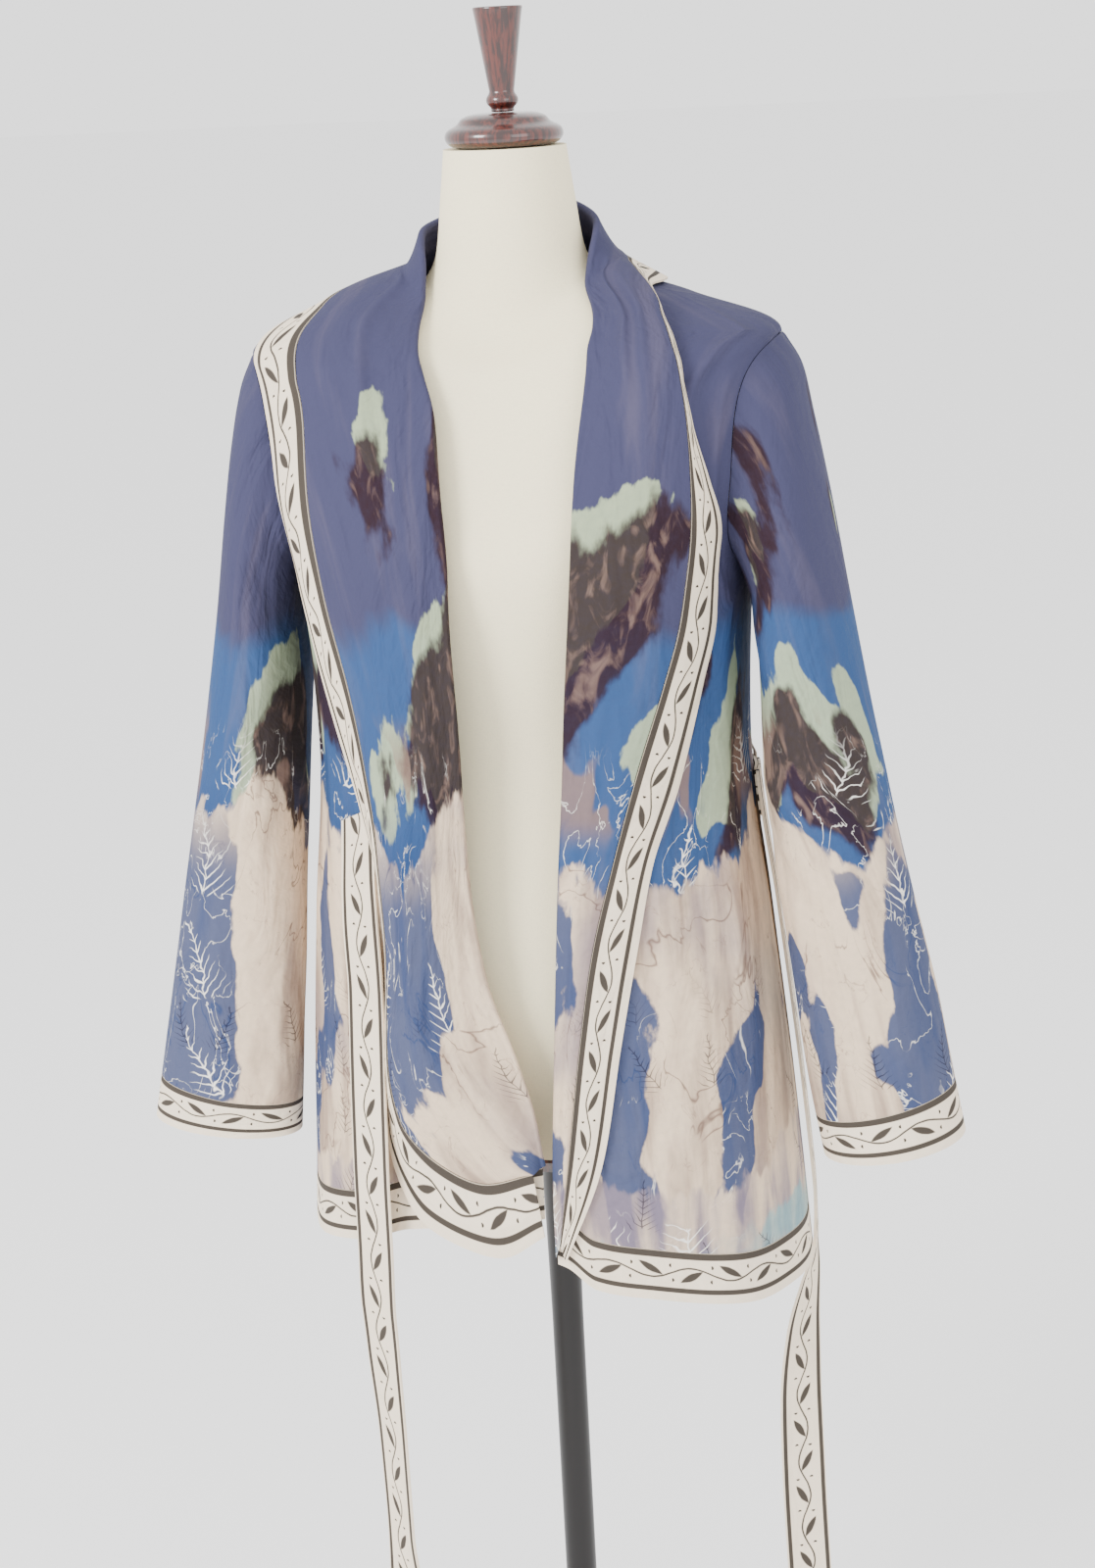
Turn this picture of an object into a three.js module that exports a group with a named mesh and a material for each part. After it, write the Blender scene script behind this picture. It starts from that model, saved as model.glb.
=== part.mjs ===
// A long-sleeved wrap jacket with a deep shawl collar, worn open on a dress form.
// Millimetres, +Z up, the wearer's left at +X, the front at -Y, the origin on the
// floor under the pole.
//
// Most of the jacket lies on one draped shell. A place on it has two measures:
// turn, in degrees round the body from the centre front over the wearer's left
// (90) and the centre back (180) to the wearer's right (270), and drop, in
// millimetres of cloth down from the neck seam.
import * as THREE from "three";

const CLOTH = 1.6; // a panel's thickness, with its seam allowances pressed flat
const SEAM = 0.3; // the gap between two pieces at a seam
const ROLL_GAP = 0.4; // more room where the collar's roll meets a front panel
const BORDER = 42; // the width of the border strip at hem, collar and cuff
const BELT_WIDTH = 38;
const BELT_THICK = 2.0;
const BELT_DROP = 470; // the belt's middle, at the natural waist
const LOOP = { width: 8, spare: 14, thick: 1, flat: 0.66, foot: 0.9 }; // over the belt
const ARMHOLE = { top: 125, bottom: 285, halfTurn: 22, square: 3 };
const ROUND = 20; // columns round a sleeve
const SHOULDER_ROWS = 4;
const SIDE_ROWS = 9;
const PANEL_ROWS = SHOULDER_ROWS + ROUND / 2 + SIDE_ROWS;
const FRONT_COLUMNS = 8;
const BACK_COLUMNS = 24;
const STAND_ROWS = 9; // the collar's rows from the centre back to the neck seam
const NECK_ROW = 6; // the roll tables' row that lies on the neck seam
const BACK_GAP = 0.002; // the share of the roll line kept free at the centre back
const ROLL_STEPS = [-1, -0.66, -0.33]; // columns round the collar's roll
const COLLAR_COLUMNS = 6;
const COLLAR_END = 0.992; // the share of its width at which the collar stops
const BORDER_START = 0.012; // the share of its own width at which the border starts
const LIFT_POWER = 1.25; // moves the collar's highest place towards its free edge
const HEM_EASE = 3; // how late down a panel its rows bend to the hem's line
const BELT_ROWS = 24;
const TOP_FOLD = 4; // one over the share of a hanging end that its folded top takes
const FORM_COLUMNS = 28;
const CAP_Z = 1470; // the underside of the wooden neck cap
const BASE = { radius: 160, height: 26 };
const POLE_RADIUS = 13;
const BOARD_THICK = 12;
const BOARD_SHRINK = { foot: 0.96, rim: 0.99 }; // its outline over the form's own

// Rows of numbers with named columns.
function table(names, rows) {
  return rows.map((row) => Object.fromEntries(names.map((n, i) => [n, row[i]])));
}

// The draped shell: one row for each horizontal ring of the jacket.
const SHELL = table(
  ["drop", "halfWidth", "front", "back", "zSide", "zFront", "zBack", "square"],
  [
    [-46, 62, 56, 58, 1416, 1392, 1430, 2.0],
    [0, 74, 64, 66, 1380, 1350, 1394, 2.1],
    [60, 136, 96, 94, 1358, 1316, 1362, 2.3],
    [125, 198, 112, 112, 1330, 1272, 1300, 2.6],
    [200, 190, 125, 118, 1252, 1215, 1235, 2.6],
    [285, 173, 132, 116, 1168, 1150, 1160, 2.5],
    [420, 167, 125, 113, 1028, 1028, 1028, 2.4],
    [560, 180, 129, 122, 888, 888, 888, 2.3],
    [700, 193, 136, 133, 748, 748, 748, 2.3],
    [860, 205, 142, 145, 588, 588, 588, 2.3],
  ],
);

// The dress form's own rings, in the same columns, inside the jacket.
const FORM = table(
  ["drop", "halfWidth", "front", "back", "zSide", "zFront", "zBack", "square"],
  [
    [-86, 45, 45, 45, 1469.7, 1469.7, 1469.7, 2.0],
    [-46, 50, 49, 50, 1430, 1430, 1430, 2.0],
    [-14, 55, 52, 54, 1396, 1388, 1402, 2.0],
    [0, 66, 57, 58, 1377.5, 1347, 1389, 2.1],
    [60, 129, 85, 85, 1357.4, 1313, 1358, 2.3],
    [116, 178, 98, 101, 1329, 1273, 1294, 2.5],
    [200, 172, 110, 106, 1250, 1215, 1230, 2.5],
    [285, 150, 117, 102, 1180, 1180, 1180, 2.3],
    [420, 117, 86, 82, 1028, 1028, 1028, 2.1],
    [560, 148, 98, 108, 888, 888, 888, 2.2],
    [640, 161, 104, 118, 808, 808, 808, 2.2],
    [740, 156, 101, 113, 708, 708, 708, 2.2],
  ],
);

// Soft flutes of the hanging cloth: where each runs, and how far it stands out.
const FLUTES = table(
  ["turn", "width", "fromDrop", "height"],
  [
    [60, 10, 500, 7],
    [86, 10, 500, 3],
    [122, 10, 490, 9],
    [152, 10, 480, 9],
    [182, 10, 490, 7],
    [212, 10, 480, 9],
    [240, 10, 490, 9],
    [276, 10, 500, 3],
    [298, 9, 500, 7],
  ],
);
const FLUTE_RAMP = 360; // the drop over which a flute grows to its full height

// The roll line where the front folds back, from the centre back down to the hem.
const ROLL_LEFT = table(
  ["turn", "drop"],
  [
    [180, -46], [150, -45], [120, -43], [96, -38], [80, -27], [70, -14], [63, 0],
    [55, 24], [47, 48], [42, 66], [38.6, 92], [35.5, 124], [30.7, 184], [27.6, 266],
    [25.4, 348], [23.4, 427], [20.5, 502], [17.9, 578], [15.5, 656], [13.4, 737],
    [12.8, 800],
  ],
);
const ROLL_RIGHT = table(
  ["turn", "drop"],
  [
    [180, -46], [150, -46], [120, -44], [96, -42], [76, -36], [62, -24], [52, 0],
    [42, 22], [33, 44], [24, 76], [18.3, 108], [14.2, 172], [11.3, 261],
    [11.7, 347], [12, 428], [11, 504], [6.8, 580], [-2, 642], [-7.5, 690],
    [-9.5, 727],
  ],
);

// The seam between collar and border strip, and the strip's free edge.
const SEAM_LEFT = table(
  ["turn", "drop"],
  [
    [180, 24], [150, 22], [124, 16], [102, 12], [86, 22], [72, 44], [62, 76],
    [58, 104], [56.8, 130], [56.6, 160], [56.2, 196], [55.6, 246], [53.5, 304],
    [49.5, 354], [43, 418], [35.5, 488], [28.4, 556], [23, 634], [18.2, 720],
    [14.2, 790],
  ],
);
const EDGE_LEFT = table(
  ["turn", "drop"],
  [
    [180, 64], [150, 60], [124, 52], [102, 40], [84, 46], [70.5, 60], [64, 86],
    [60.5, 112], [59, 136], [59.4, 164], [62, 204], [66.3, 256], [66, 312],
    [62, 362], [55.2, 432], [46.6, 492], [41, 556], [34.6, 634], [27.6, 726],
    [15.6, 806],
  ],
);

const SEAM_RIGHT = table(
  ["turn", "drop"],
  [
    [180, 26], [150, 28], [124, 32], [102, 38], [86, 46], [74, 60], [64, 86],
    [56, 118], [52.2, 151], [49.7, 215], [46.8, 279], [42.4, 348], [39.4, 418],
    [36, 478], [34, 560], [34.4, 632], [32.1, 694], [22.8, 727], [8.4, 744],
    [-7, 731],
  ],
);
const EDGE_RIGHT = table(
  ["turn", "drop"],
  [
    [180, 66], [150, 68], [124, 72], [102, 80], [88, 88], [78, 102], [71, 124],
    [66.5, 152], [64.5, 190], [65.5, 262], [60.5, 329], [54.4, 394], [47.4, 452],
    [41.5, 511], [39, 585], [39.4, 650], [38.2, 706], [28, 770], [6, 790],
    [-8.8, 770],
  ],
);

// How far the turned-back collar stands off the front, along its length.
const LIFT_LEFT = table(
  ["drop", "height"],
  [[-46, 6], [30, 9], [120, 8], [300, 10], [450, 9], [650, 7], [800, 2]],
);
const LIFT_RIGHT = table(
  ["drop", "height"],
  [[-46, 6], [30, 9], [120, 7], [300, 12], [420, 18], [520, 26], [650, 26], [740, 12], [800, 8]],
);
const COLLAR_OUT = 4.2; // the collar's outer face over the panel's, at roll and edge
const SEAM_SHARE = 0.74; // the seam's place across the collar, for its lift

// The hem's drop, round the body.
const HEM = table(
  ["turn", "drop"],
  [
    [10, 806], [16, 812], [24, 830], [40, 840], [54, 849], [72, 858], [90, 860],
    [130, 856], [180, 850], [230, 842], [270, 832], [296, 822], [310, 813],
    [325, 793], [338, 786], [354, 780], [372, 770],
  ],
);

// The sleeves hang empty: each row is one ring, from its outer to its inner side.
const SLEEVE_COLUMNS = ["outX", "outZ", "inX", "inZ", "midY", "depth"];
const SLEEVE_LEFT = table(SLEEVE_COLUMNS, [
  [198, 1330, 173, 1168, 0, 150],
  [213, 1308, 178, 1138, -2, 148],
  [222, 1272, 181, 1108, -6, 144],
  [235, 1212, 182, 1072, -12, 138],
  [248, 1143, 183, 1025, -18, 130],
  [262, 1070, 187, 972, -24, 122],
  [278, 992, 194, 916, -30, 112],
  [296, 910, 203, 850, -34, 103],
  [313, 838, 211, 785, -37, 96],
  [323, 784, 216.5, 750, -39, 93],
  [334, 725, 225, 704, -40, 92],
]);
const SLEEVE_RIGHT = table(SLEEVE_COLUMNS, [
  [198, 1330, 173, 1168, 0, 150],
  [211, 1306, 178, 1138, -2, 146],
  [219, 1272, 181, 1108, -6, 138],
  [229, 1212, 182, 1068, -13, 130],
  [240, 1143, 184, 1020, -20, 118],
  [254, 1065, 186, 965, -28, 106],
  [270, 985, 189, 908, -35, 94],
  [287, 905, 192, 848, -40, 84],
  [303, 828, 197, 788, -44, 76],
  [318, 760, 201, 738, -46, 72],
  [330, 706, 205, 697, -47, 70],
]);
const LOOP_FADE = 0.3; // the share of the sleeve over which the armhole's shape fades
const CUFF_ROWS = [0.93, 0.962, 1]; // the cuff border's rows, as shares of the sleeve
const SLEEVE_ROWS = [
  0.008, 0.05, 0.1, 0.16, 0.23, 0.31, 0.4, 0.49, 0.58, 0.67, 0.76, 0.84, CUFF_ROWS[0] - 0.0004,
];
const NEAR = { angle: 4, share: 0.01 }; // how far off a sleeve's slope is read

// The belt's hanging ends: each row is the middle of the strip, as a place on the
// shell (below its last ring, straight under it), the way that its face looks, and
// how closely it follows the shell's curve across its width.
const BELT_COLUMNS = ["turn", "drop", "out", "face", "hug"];
const BELT_LEFT = table(BELT_COLUMNS, [
  [97, 451, 4.8, 98, 1],
  [97.5, 500, 4.9, 98, 1],
  [98, 560, 5.2, 98, 0.6],
  [98.5, 640, 5.8, 98, 0],
  [99, 720, 6.5, 98, 0],
  [99.5, 800, 7, 98, 0],
  [100, 862, 7, 97, 0],
  [100, 895, 5, 90, 0],
  [100, 945, -6, 74, 0],
  [100, 1010, -14, 58, 0],
  [100, 1090, -18, 50, 0],
  [100, 1185, -19, 54, 0],
]);
const BELT_RIGHT = table(BELT_COLUMNS, [
  [310.6, 452, 1.4, -31, 1],
  [310.2, 505, 1.3, -31, 1],
  [311.2, 540, 2.6, -30, 0.8],
  [315, 600, 9, -29, 0],
  [316.2, 650, 12, -28, 0],
  [317, 705, 14, -28, 0],
  [317.5, 760, 15, -28, 0],
  [318, 830, 15, -28, 0],
  [318, 900, 12, -31, 0],
  [318.5, 980, 10, -38, 0],
  [318.5, 1060, 9, -40, 0],
  [319, 1110, 9, -30, 0],
  [319, 1150, 9, -22, 0],
]);
const BELT_SLANT = { left: 0, right: 18 }; // the drop of the folded top, side to side
const BELT_TURNS = { from: 93, to: 268 }; // the belt round the back
const BELT_OUT = 1.2; // the belt's underside, off the panels
const BELT_LOOP_TURN = 106;
const LOOP_OUT = 0.9; // the loop's underside, off the panel and off the belt

// The form's rings that are built, by drop.
const FORM_DROPS = [
  -86, -66, -46, -30, -14, -6, 0, 20, 40, 60, 88, 116, 140, 170, 200, 240, 285, 330,
  375, 420, 490, 560, 600, 640, 690, 740,
];

// The turned pieces' outlines, from the axis at the foot to the axis at the top.
const PROFILE = ["radius", "z"];
const CAP_PROFILE = table(PROFILE, [
  [0, CAP_Z], [36, CAP_Z], [42, CAP_Z + 3], [44, CAP_Z + 8], [42, CAP_Z + 13],
  [35, CAP_Z + 16], [33, CAP_Z + 18], [31, CAP_Z + 21], [22, CAP_Z + 24],
  [0, CAP_Z + 24],
]);
const FINIAL_PROFILE = table(PROFILE, [
  [0, CAP_Z + 24.3], [9, CAP_Z + 24.3], [8, CAP_Z + 27], [11.5, CAP_Z + 30],
  [12, CAP_Z + 34], [9, CAP_Z + 38], [9.5, CAP_Z + 41], [17.5, CAP_Z + 94],
  [18.2, CAP_Z + 96.5], [17.5, CAP_Z + 98], [0, CAP_Z + 98],
]);
const POLE_FOOT = BASE.height + SEAM;
const POLE_TOP = FORM.at(-1).zSide - SEAM - BOARD_THICK - SEAM;
const POLE_PROFILE = table(PROFILE, [
  [0, POLE_FOOT], [24, POLE_FOOT], [22, BASE.height + 8],
  [POLE_RADIUS, BASE.height + 16], [POLE_RADIUS, POLE_TOP - 14],
  [20, POLE_TOP - 8], [20, POLE_TOP], [0, POLE_TOP],
]);
const BASE_PROFILE = table(PROFILE, [
  [0, 0], [BASE.radius - 4, 0], [BASE.radius, 4], [BASE.radius, 12],
  [BASE.radius - 6, 17], [60, BASE.height - 2], [54, BASE.height], [0, BASE.height],
]);

const COLOURS = {
  sky: 0x64688f,
  border: 0xe9ddcd,
  linen: 0xe8dfc8,
  wood: 0x5a2a18,
  steel: 0x2c2a29,
};

function lerp(a, b, t) {
  return a + (b - a) * t;
}

// A smooth curve through rows[from] and rows[to] columns that doesn't overshoot.
function through(rows, from, to) {
  const xs = rows.map((r) => r[from]);
  const ys = rows.map((r) => r[to]);
  const slope = xs.slice(1).map((x, i) => (ys[i + 1] - ys[i]) / (x - xs[i]));
  const bend = xs.map((x, i) => {
    if (i === 0) return slope[0];
    if (i === xs.length - 1) return slope[i - 1];
    if (slope[i - 1] * slope[i] <= 0) return 0;
    return (2 * slope[i - 1] * slope[i]) / (slope[i - 1] + slope[i]);
  });
  return (x) => {
    let i = xs.findIndex((v) => x < v) - 1;
    if (i === -2) i = xs.length - 2;
    i = Math.max(0, i);
    const w = xs[i + 1] - xs[i];
    const t = Math.min(1, Math.max(0, (x - xs[i]) / w));
    const rest = 1 - t;
    return (
      ys[i] * (1 + 2 * t) * rest * rest +
      bend[i] * w * t * rest * rest +
      ys[i + 1] * t * t * (3 - 2 * t) -
      bend[i + 1] * w * t * t * rest
    );
  };
}

// The same kind of curve through a table, run by the row's number from 0 to 1.
function along(rows, column) {
  const numbered = rows.map((r, i) => ({ at: i / (rows.length - 1), value: r[column] }));
  return through(numbered, "at", "value");
}

// A shell's surface from its table of rings.
function ringsOf(rows, flutes) {
  const columns = Object.keys(rows[0]).slice(1);
  const [halfWidth, front, back, zSide, zFront, zBack, square] = columns.map((c) =>
    through(rows, "drop", c),
  );
  const fluteAt = (turn, drop) =>
    flutes.reduce((sum, f) => {
      const grown = Math.min(1, Math.max(0, (drop - f.fromDrop) / FLUTE_RAMP));
      const away = (turn - f.turn) / f.width;
      return sum + f.height * grown * Math.exp(-away * away);
    }, 0);
  return (turn, drop) => {
    const angle = THREE.MathUtils.degToRad(turn);
    const s = Math.sin(angle);
    const c = Math.cos(angle);
    const n = square(drop);
    const depth = c > 0 ? front(drop) : back(drop);
    const radius =
      (Math.abs(s / halfWidth(drop)) ** n + Math.abs(c / depth) ** n) ** (-1 / n) +
      fluteAt(turn, drop);
    const z = lerp(zSide(drop), c > 0 ? zFront(drop) : zBack(drop), c * c);
    return new THREE.Vector3(radius * s, -radius * c, z);
  };
}

const shellSurface = ringsOf(SHELL, FLUTES);
const formSurface = ringsOf(FORM, []);

// The shell's outward direction at a place.
function shellNormal(turn, drop) {
  const round = shellSurface(turn + 0.5, drop).sub(shellSurface(turn - 0.5, drop));
  const down = shellSurface(turn, drop + 1).sub(shellSurface(turn, drop - 1));
  return down.cross(round).normalize();
}

// A point out millimetres off the shell.
function shell(turn, drop, out) {
  return shellSurface(turn, drop).addScaledVector(shellNormal(turn, drop), out);
}

// One closed body from points, quads' corner order set right by its volume.
function bodyOf(points, faces) {
  const position = new Float32Array(points.flatMap((p) => [p.x, p.y, p.z]));
  let volume = 0;
  for (const [a, b, c] of faces) {
    volume += points[a].dot(new THREE.Vector3().crossVectors(points[b], points[c]));
  }
  const turned = volume < 0 ? faces.map(([a, b, c]) => [a, c, b]) : faces;
  const geometry = new THREE.BufferGeometry();
  geometry.setAttribute("position", new THREE.BufferAttribute(position, 3));
  geometry.setIndex(turned.flat());
  geometry.computeVertexNormals();
  return geometry;
}

// A wall of cloth: place(u, w, depth) gives a point depth under the outer face.
// Both u and w are lists of shares; a closed wall joins its last w to its first.
function wall(us, ws, thick, place, closed = false) {
  const points = [];
  const faces = [];
  const rows = us.length;
  const columns = ws.length;
  for (const depth of [0, thick]) {
    for (const u of us) for (const w of ws) points.push(place(u, w, depth));
  }
  const id = (layer, i, j) => layer * rows * columns + i * columns + (j % columns);
  const layer = rows * columns;
  const quad = (a, b, c, d) => {
    const [p, q, r, s] = [a, b, c, d].map((i) => points[i % layer]);
    const split = p.distanceTo(r) <= q.distanceTo(s);
    faces.push(...(split ? [[a, b, c], [a, c, d]] : [[b, c, d], [b, d, a]]));
  };
  const spans = closed ? columns : columns - 1;
  for (let i = 0; i < rows - 1; i++) {
    for (let j = 0; j < spans; j++) {
      quad(id(0, i, j), id(0, i, j + 1), id(0, i + 1, j + 1), id(0, i + 1, j));
      quad(id(1, i, j), id(1, i + 1, j), id(1, i + 1, j + 1), id(1, i, j + 1));
    }
    if (!closed) {
      quad(id(0, i, 0), id(0, i + 1, 0), id(1, i + 1, 0), id(1, i, 0));
      const last = columns - 1;
      quad(id(0, i, last), id(1, i, last), id(1, i + 1, last), id(0, i + 1, last));
    }
  }
  for (let j = 0; j < spans; j++) {
    const last = rows - 1;
    quad(id(0, 0, j), id(1, 0, j), id(1, 0, j + 1), id(0, 0, j + 1));
    quad(id(0, last, j), id(0, last, j + 1), id(1, last, j + 1), id(1, last, j));
  }
  return bodyOf(points, faces);
}

// A whole body through closed rings, with flat ends.
function stack(rings) {
  const size = rings[0].length;
  const points = rings.flat();
  const faces = [];
  for (let i = 0; i < rings.length - 1; i++) {
    for (let j = 0; j < size; j++) {
      const a = i * size + j;
      const b = i * size + ((j + 1) % size);
      faces.push([a, b, b + size], [a, b + size, a + size]);
    }
  }
  for (const [base, flip] of [[0, true], [(rings.length - 1) * size, false]]) {
    const middle = points.length;
    const centre = new THREE.Vector3();
    for (let j = 0; j < size; j++) centre.add(points[base + j]);
    points.push(centre.divideScalar(size));
    for (let j = 0; j < size; j++) {
      const a = base + j;
      const b = base + ((j + 1) % size);
      faces.push(flip ? [middle, b, a] : [middle, a, b]);
    }
  }
  return bodyOf(points, faces);
}

function shares(count) {
  return Array.from({ length: count + 1 }, (_, i) => i / count);
}

// The armhole's edge at an angle round it, 0 at the shoulder tip, 180 at the armpit.
// sense is -1 towards the front and 1 towards the back, on the wearer's left.
function armhole(angle, sense) {
  const a = THREE.MathUtils.degToRad(angle);
  const power = 2 / ARMHOLE.square;
  const middle = (ARMHOLE.top + ARMHOLE.bottom) / 2;
  const half = (ARMHOLE.bottom - ARMHOLE.top) / 2;
  const c = Math.cos(a);
  return {
    turn: 90 + sense * ARMHOLE.halfTurn * Math.abs(Math.sin(a)) ** power,
    drop: middle - half * Math.sign(c) * Math.abs(c) ** power,
  };
}

const hemDrop = through(HEM, "turn", "drop");

// The outer boundary of a panel: shoulder seam, armhole, then side seam to the hem
// border. side is 1 for the wearer's left, and sense as in armhole.
function boundary(side, sense) {
  const mirror = (p) => ({ turn: side > 0 ? p.turn : 360 - p.turn, drop: p.drop });
  const rows = [];
  for (let i = 0; i < SHOULDER_ROWS; i++) {
    const drop = (ARMHOLE.top * i) / SHOULDER_ROWS;
    rows.push(mirror({ turn: 90, drop: Math.max(drop, SEAM) }));
  }
  const steps = ROUND / 2;
  for (let i = 0; i <= steps; i++) rows.push(mirror(armhole((180 * i) / steps, sense)));
  const end = hemDrop(side > 0 ? 90 : 270) - BORDER;
  for (let i = 1; i <= SIDE_ROWS; i++) {
    rows.push(mirror({ turn: 90, drop: lerp(ARMHOLE.bottom, end, i / SIDE_ROWS) }));
  }
  return rows;
}

// The millimetres of cloth that one degree of turn spans.
function degreeLength(turn, drop) {
  return shellSurface(turn + 0.5, drop).distanceTo(shellSurface(turn - 0.5, drop));
}

// Moves a place by mm along turn, so that two pieces stay a seam apart.
function shifted(p, mm) {
  return { turn: p.turn + mm / degreeLength(p.turn, p.drop), drop: p.drop };
}

// The cloth between two lists of places, row by row, cut level with the hem's strip.
function ruled(first, last, columns) {
  const inset = Math.sign(last.at(-1).turn - first.at(-1).turn);
  const a = first.map((p) => shifted(p, (inset * SEAM) / 2));
  const b = last.map((p) => shifted(p, (-inset * SEAM) / 2));
  const rows = shares(a.length - 1).map((_, i) => i);
  const onHem = (w) => {
    const turn = lerp(a.at(-1).turn, b.at(-1).turn, w);
    return (hemDrop(turn) - BORDER) / lerp(a.at(-1).drop, b.at(-1).drop, w) - 1;
  };
  return wall(rows, shares(columns), CLOTH, (i, w, depth) => {
    const turn = lerp(a[i].turn, b[i].turn, w);
    const drop = lerp(a[i].drop, b[i].drop, w);
    const low = (i / PANEL_ROWS) ** HEM_EASE;
    return shell(turn, drop * (1 + onHem(w) * low), -depth);
  });
}

// A collar's curve at a share of its length, as a place on the shell.
function trace(rows, side) {
  const turn = along(rows, "turn");
  const drop = along(rows, "drop");
  return (q) => ({ turn: side > 0 ? turn(q) : 360 - turn(q), drop: drop(q) });
}

// The shares of the collar's length at its rows: those from the neck seam down meet
// the front panel's rows.
function collarShares(roll) {
  const neck = NECK_ROW / (roll.length - 1);
  const above = shares(STAND_ROWS).map((t) => lerp(BACK_GAP, neck, t));
  const below = shares(PANEL_ROWS).map((t) => lerp(neck, 1, t));
  return [...above, ...below.slice(1)];
}

function rollPlaces(side) {
  const roll = side > 0 ? ROLL_LEFT : ROLL_RIGHT;
  return collarShares(roll).map(trace(roll, side));
}

// A front panel, from its roll line to the side seam.
function frontPanel(side) {
  const places = rollPlaces(side).slice(STAND_ROWS);
  const roll = rollTurn(side);
  const end = places.at(-1);
  const spare = (hemDrop(end.turn) - BORDER) / end.drop - 1;
  const inner = places.map((p, i) => {
    const drop = Math.max(SEAM, p.drop * (1 + spare * (i / PANEL_ROWS) ** HEM_EASE));
    return shifted({ turn: i === 0 ? p.turn : roll(drop), drop }, side * ROLL_GAP);
  });
  return ruled(inner, boundary(side, -1), FRONT_COLUMNS);
}

// A border strip along the hem, from one turn to another. An end on a front edge
// follows that edge's roll line.
function hemBorder(turns, rollAt = {}) {
  const last = turns.length - 1;
  return wall([0, 0.5, 1], [...turns.keys()], CLOTH, (u, i, depth) => {
    const drop = hemDrop(turns[i]) - BORDER * (1 - u) + SEAM * (1 - u);
    const turn = rollAt[i] ? rollAt[i](drop) : turns[i];
    const inward = i === 0 ? 1 : i === last ? -1 : 0;
    const p = shifted({ turn, drop }, (inward * SEAM) / 2);
    return shell(p.turn, p.drop, -depth);
  });
}

// The roll line's turn at a drop, below the neck seam.
function rollTurn(side) {
  const rows = (side > 0 ? ROLL_LEFT : ROLL_RIGHT).slice(NECK_ROW);
  const turn = through(rows, "drop", "turn");
  return (drop) => (side > 0 ? turn(drop) : 360 - turn(drop));
}

// The collar's height off the panel, across its width t and along its length.
function collarOut(lift, t, drop) {
  return COLLAR_OUT + lift(drop) * Math.sin(Math.PI * t ** LIFT_POWER);
}

// The turned-back collar on one side, from the centre back to its lower end, with
// the roll that goes round the fold as its first columns.
function collar(side) {
  const roll = trace(side > 0 ? ROLL_LEFT : ROLL_RIGHT, side);
  const seam = trace(side > 0 ? SEAM_LEFT : SEAM_RIGHT, side);
  const lift = through(side > 0 ? LIFT_LEFT : LIFT_RIGHT, "drop", "height");
  const half = (COLLAR_OUT + CLOTH) / 2;
  const across = [...ROLL_STEPS, ...shares(COLLAR_COLUMNS)];
  const rows = collarShares(side > 0 ? ROLL_LEFT : ROLL_RIGHT);
  return wall(rows, across, CLOTH, (q, s, depth) => {
    const a = roll(q);
    const b = seam(q);
    const place = (t) => ({ turn: lerp(a.turn, b.turn, t), drop: lerp(a.drop, b.drop, t) });
    if (s >= 0) {
      const p = place(s * COLLAR_END);
      return shell(p.turn, p.drop, collarOut(lift, s * SEAM_SHARE, p.drop) - depth);
    }
    const fold = shellSurface(a.turn, a.drop);
    const near = place(0.04);
    const away = fold.clone().sub(shellSurface(near.turn, near.drop)).normalize();
    const normal = shellNormal(a.turn, a.drop);
    const angle = -s * Math.PI;
    const radius = half - depth;
    return fold
      .addScaledVector(normal, half - CLOTH + radius * Math.cos(angle))
      .addScaledVector(away, radius * Math.sin(angle));
  });
}

// The border strip along the collar's free edge.
function collarBorder(side) {
  const seam = trace(side > 0 ? SEAM_LEFT : SEAM_RIGHT, side);
  const edge = trace(side > 0 ? EDGE_LEFT : EDGE_RIGHT, side);
  const lift = through(side > 0 ? LIFT_LEFT : LIFT_RIGHT, "drop", "height");
  const rows = collarShares(side > 0 ? ROLL_LEFT : ROLL_RIGHT);
  return wall(rows, [0, 0.5, 1], CLOTH, (q, s, depth) => {
    const a = seam(q);
    const b = edge(q);
    const t = lerp(BORDER_START, 1, s);
    const drop = lerp(a.drop, b.drop, t);
    const out = collarOut(lift, lerp(SEAM_SHARE, 1, t), drop);
    return shell(lerp(a.turn, b.turn, t), drop, out - depth);
  });
}

// The collar's stand, round the back of the neck up to the roll line.
function collarStand() {
  const left = rollPlaces(1).slice(0, STAND_ROWS);
  const right = rollPlaces(-1).slice(1, STAND_ROWS);
  const tops = [...left.reverse(), ...right];
  return wall([...tops.keys()], [0, 0.5, 1], CLOTH, (i, u, depth) => {
    const { turn, drop } = tops[i];
    return shell(turn, lerp(drop + SEAM, -SEAM, u), -depth);
  });
}

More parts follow.
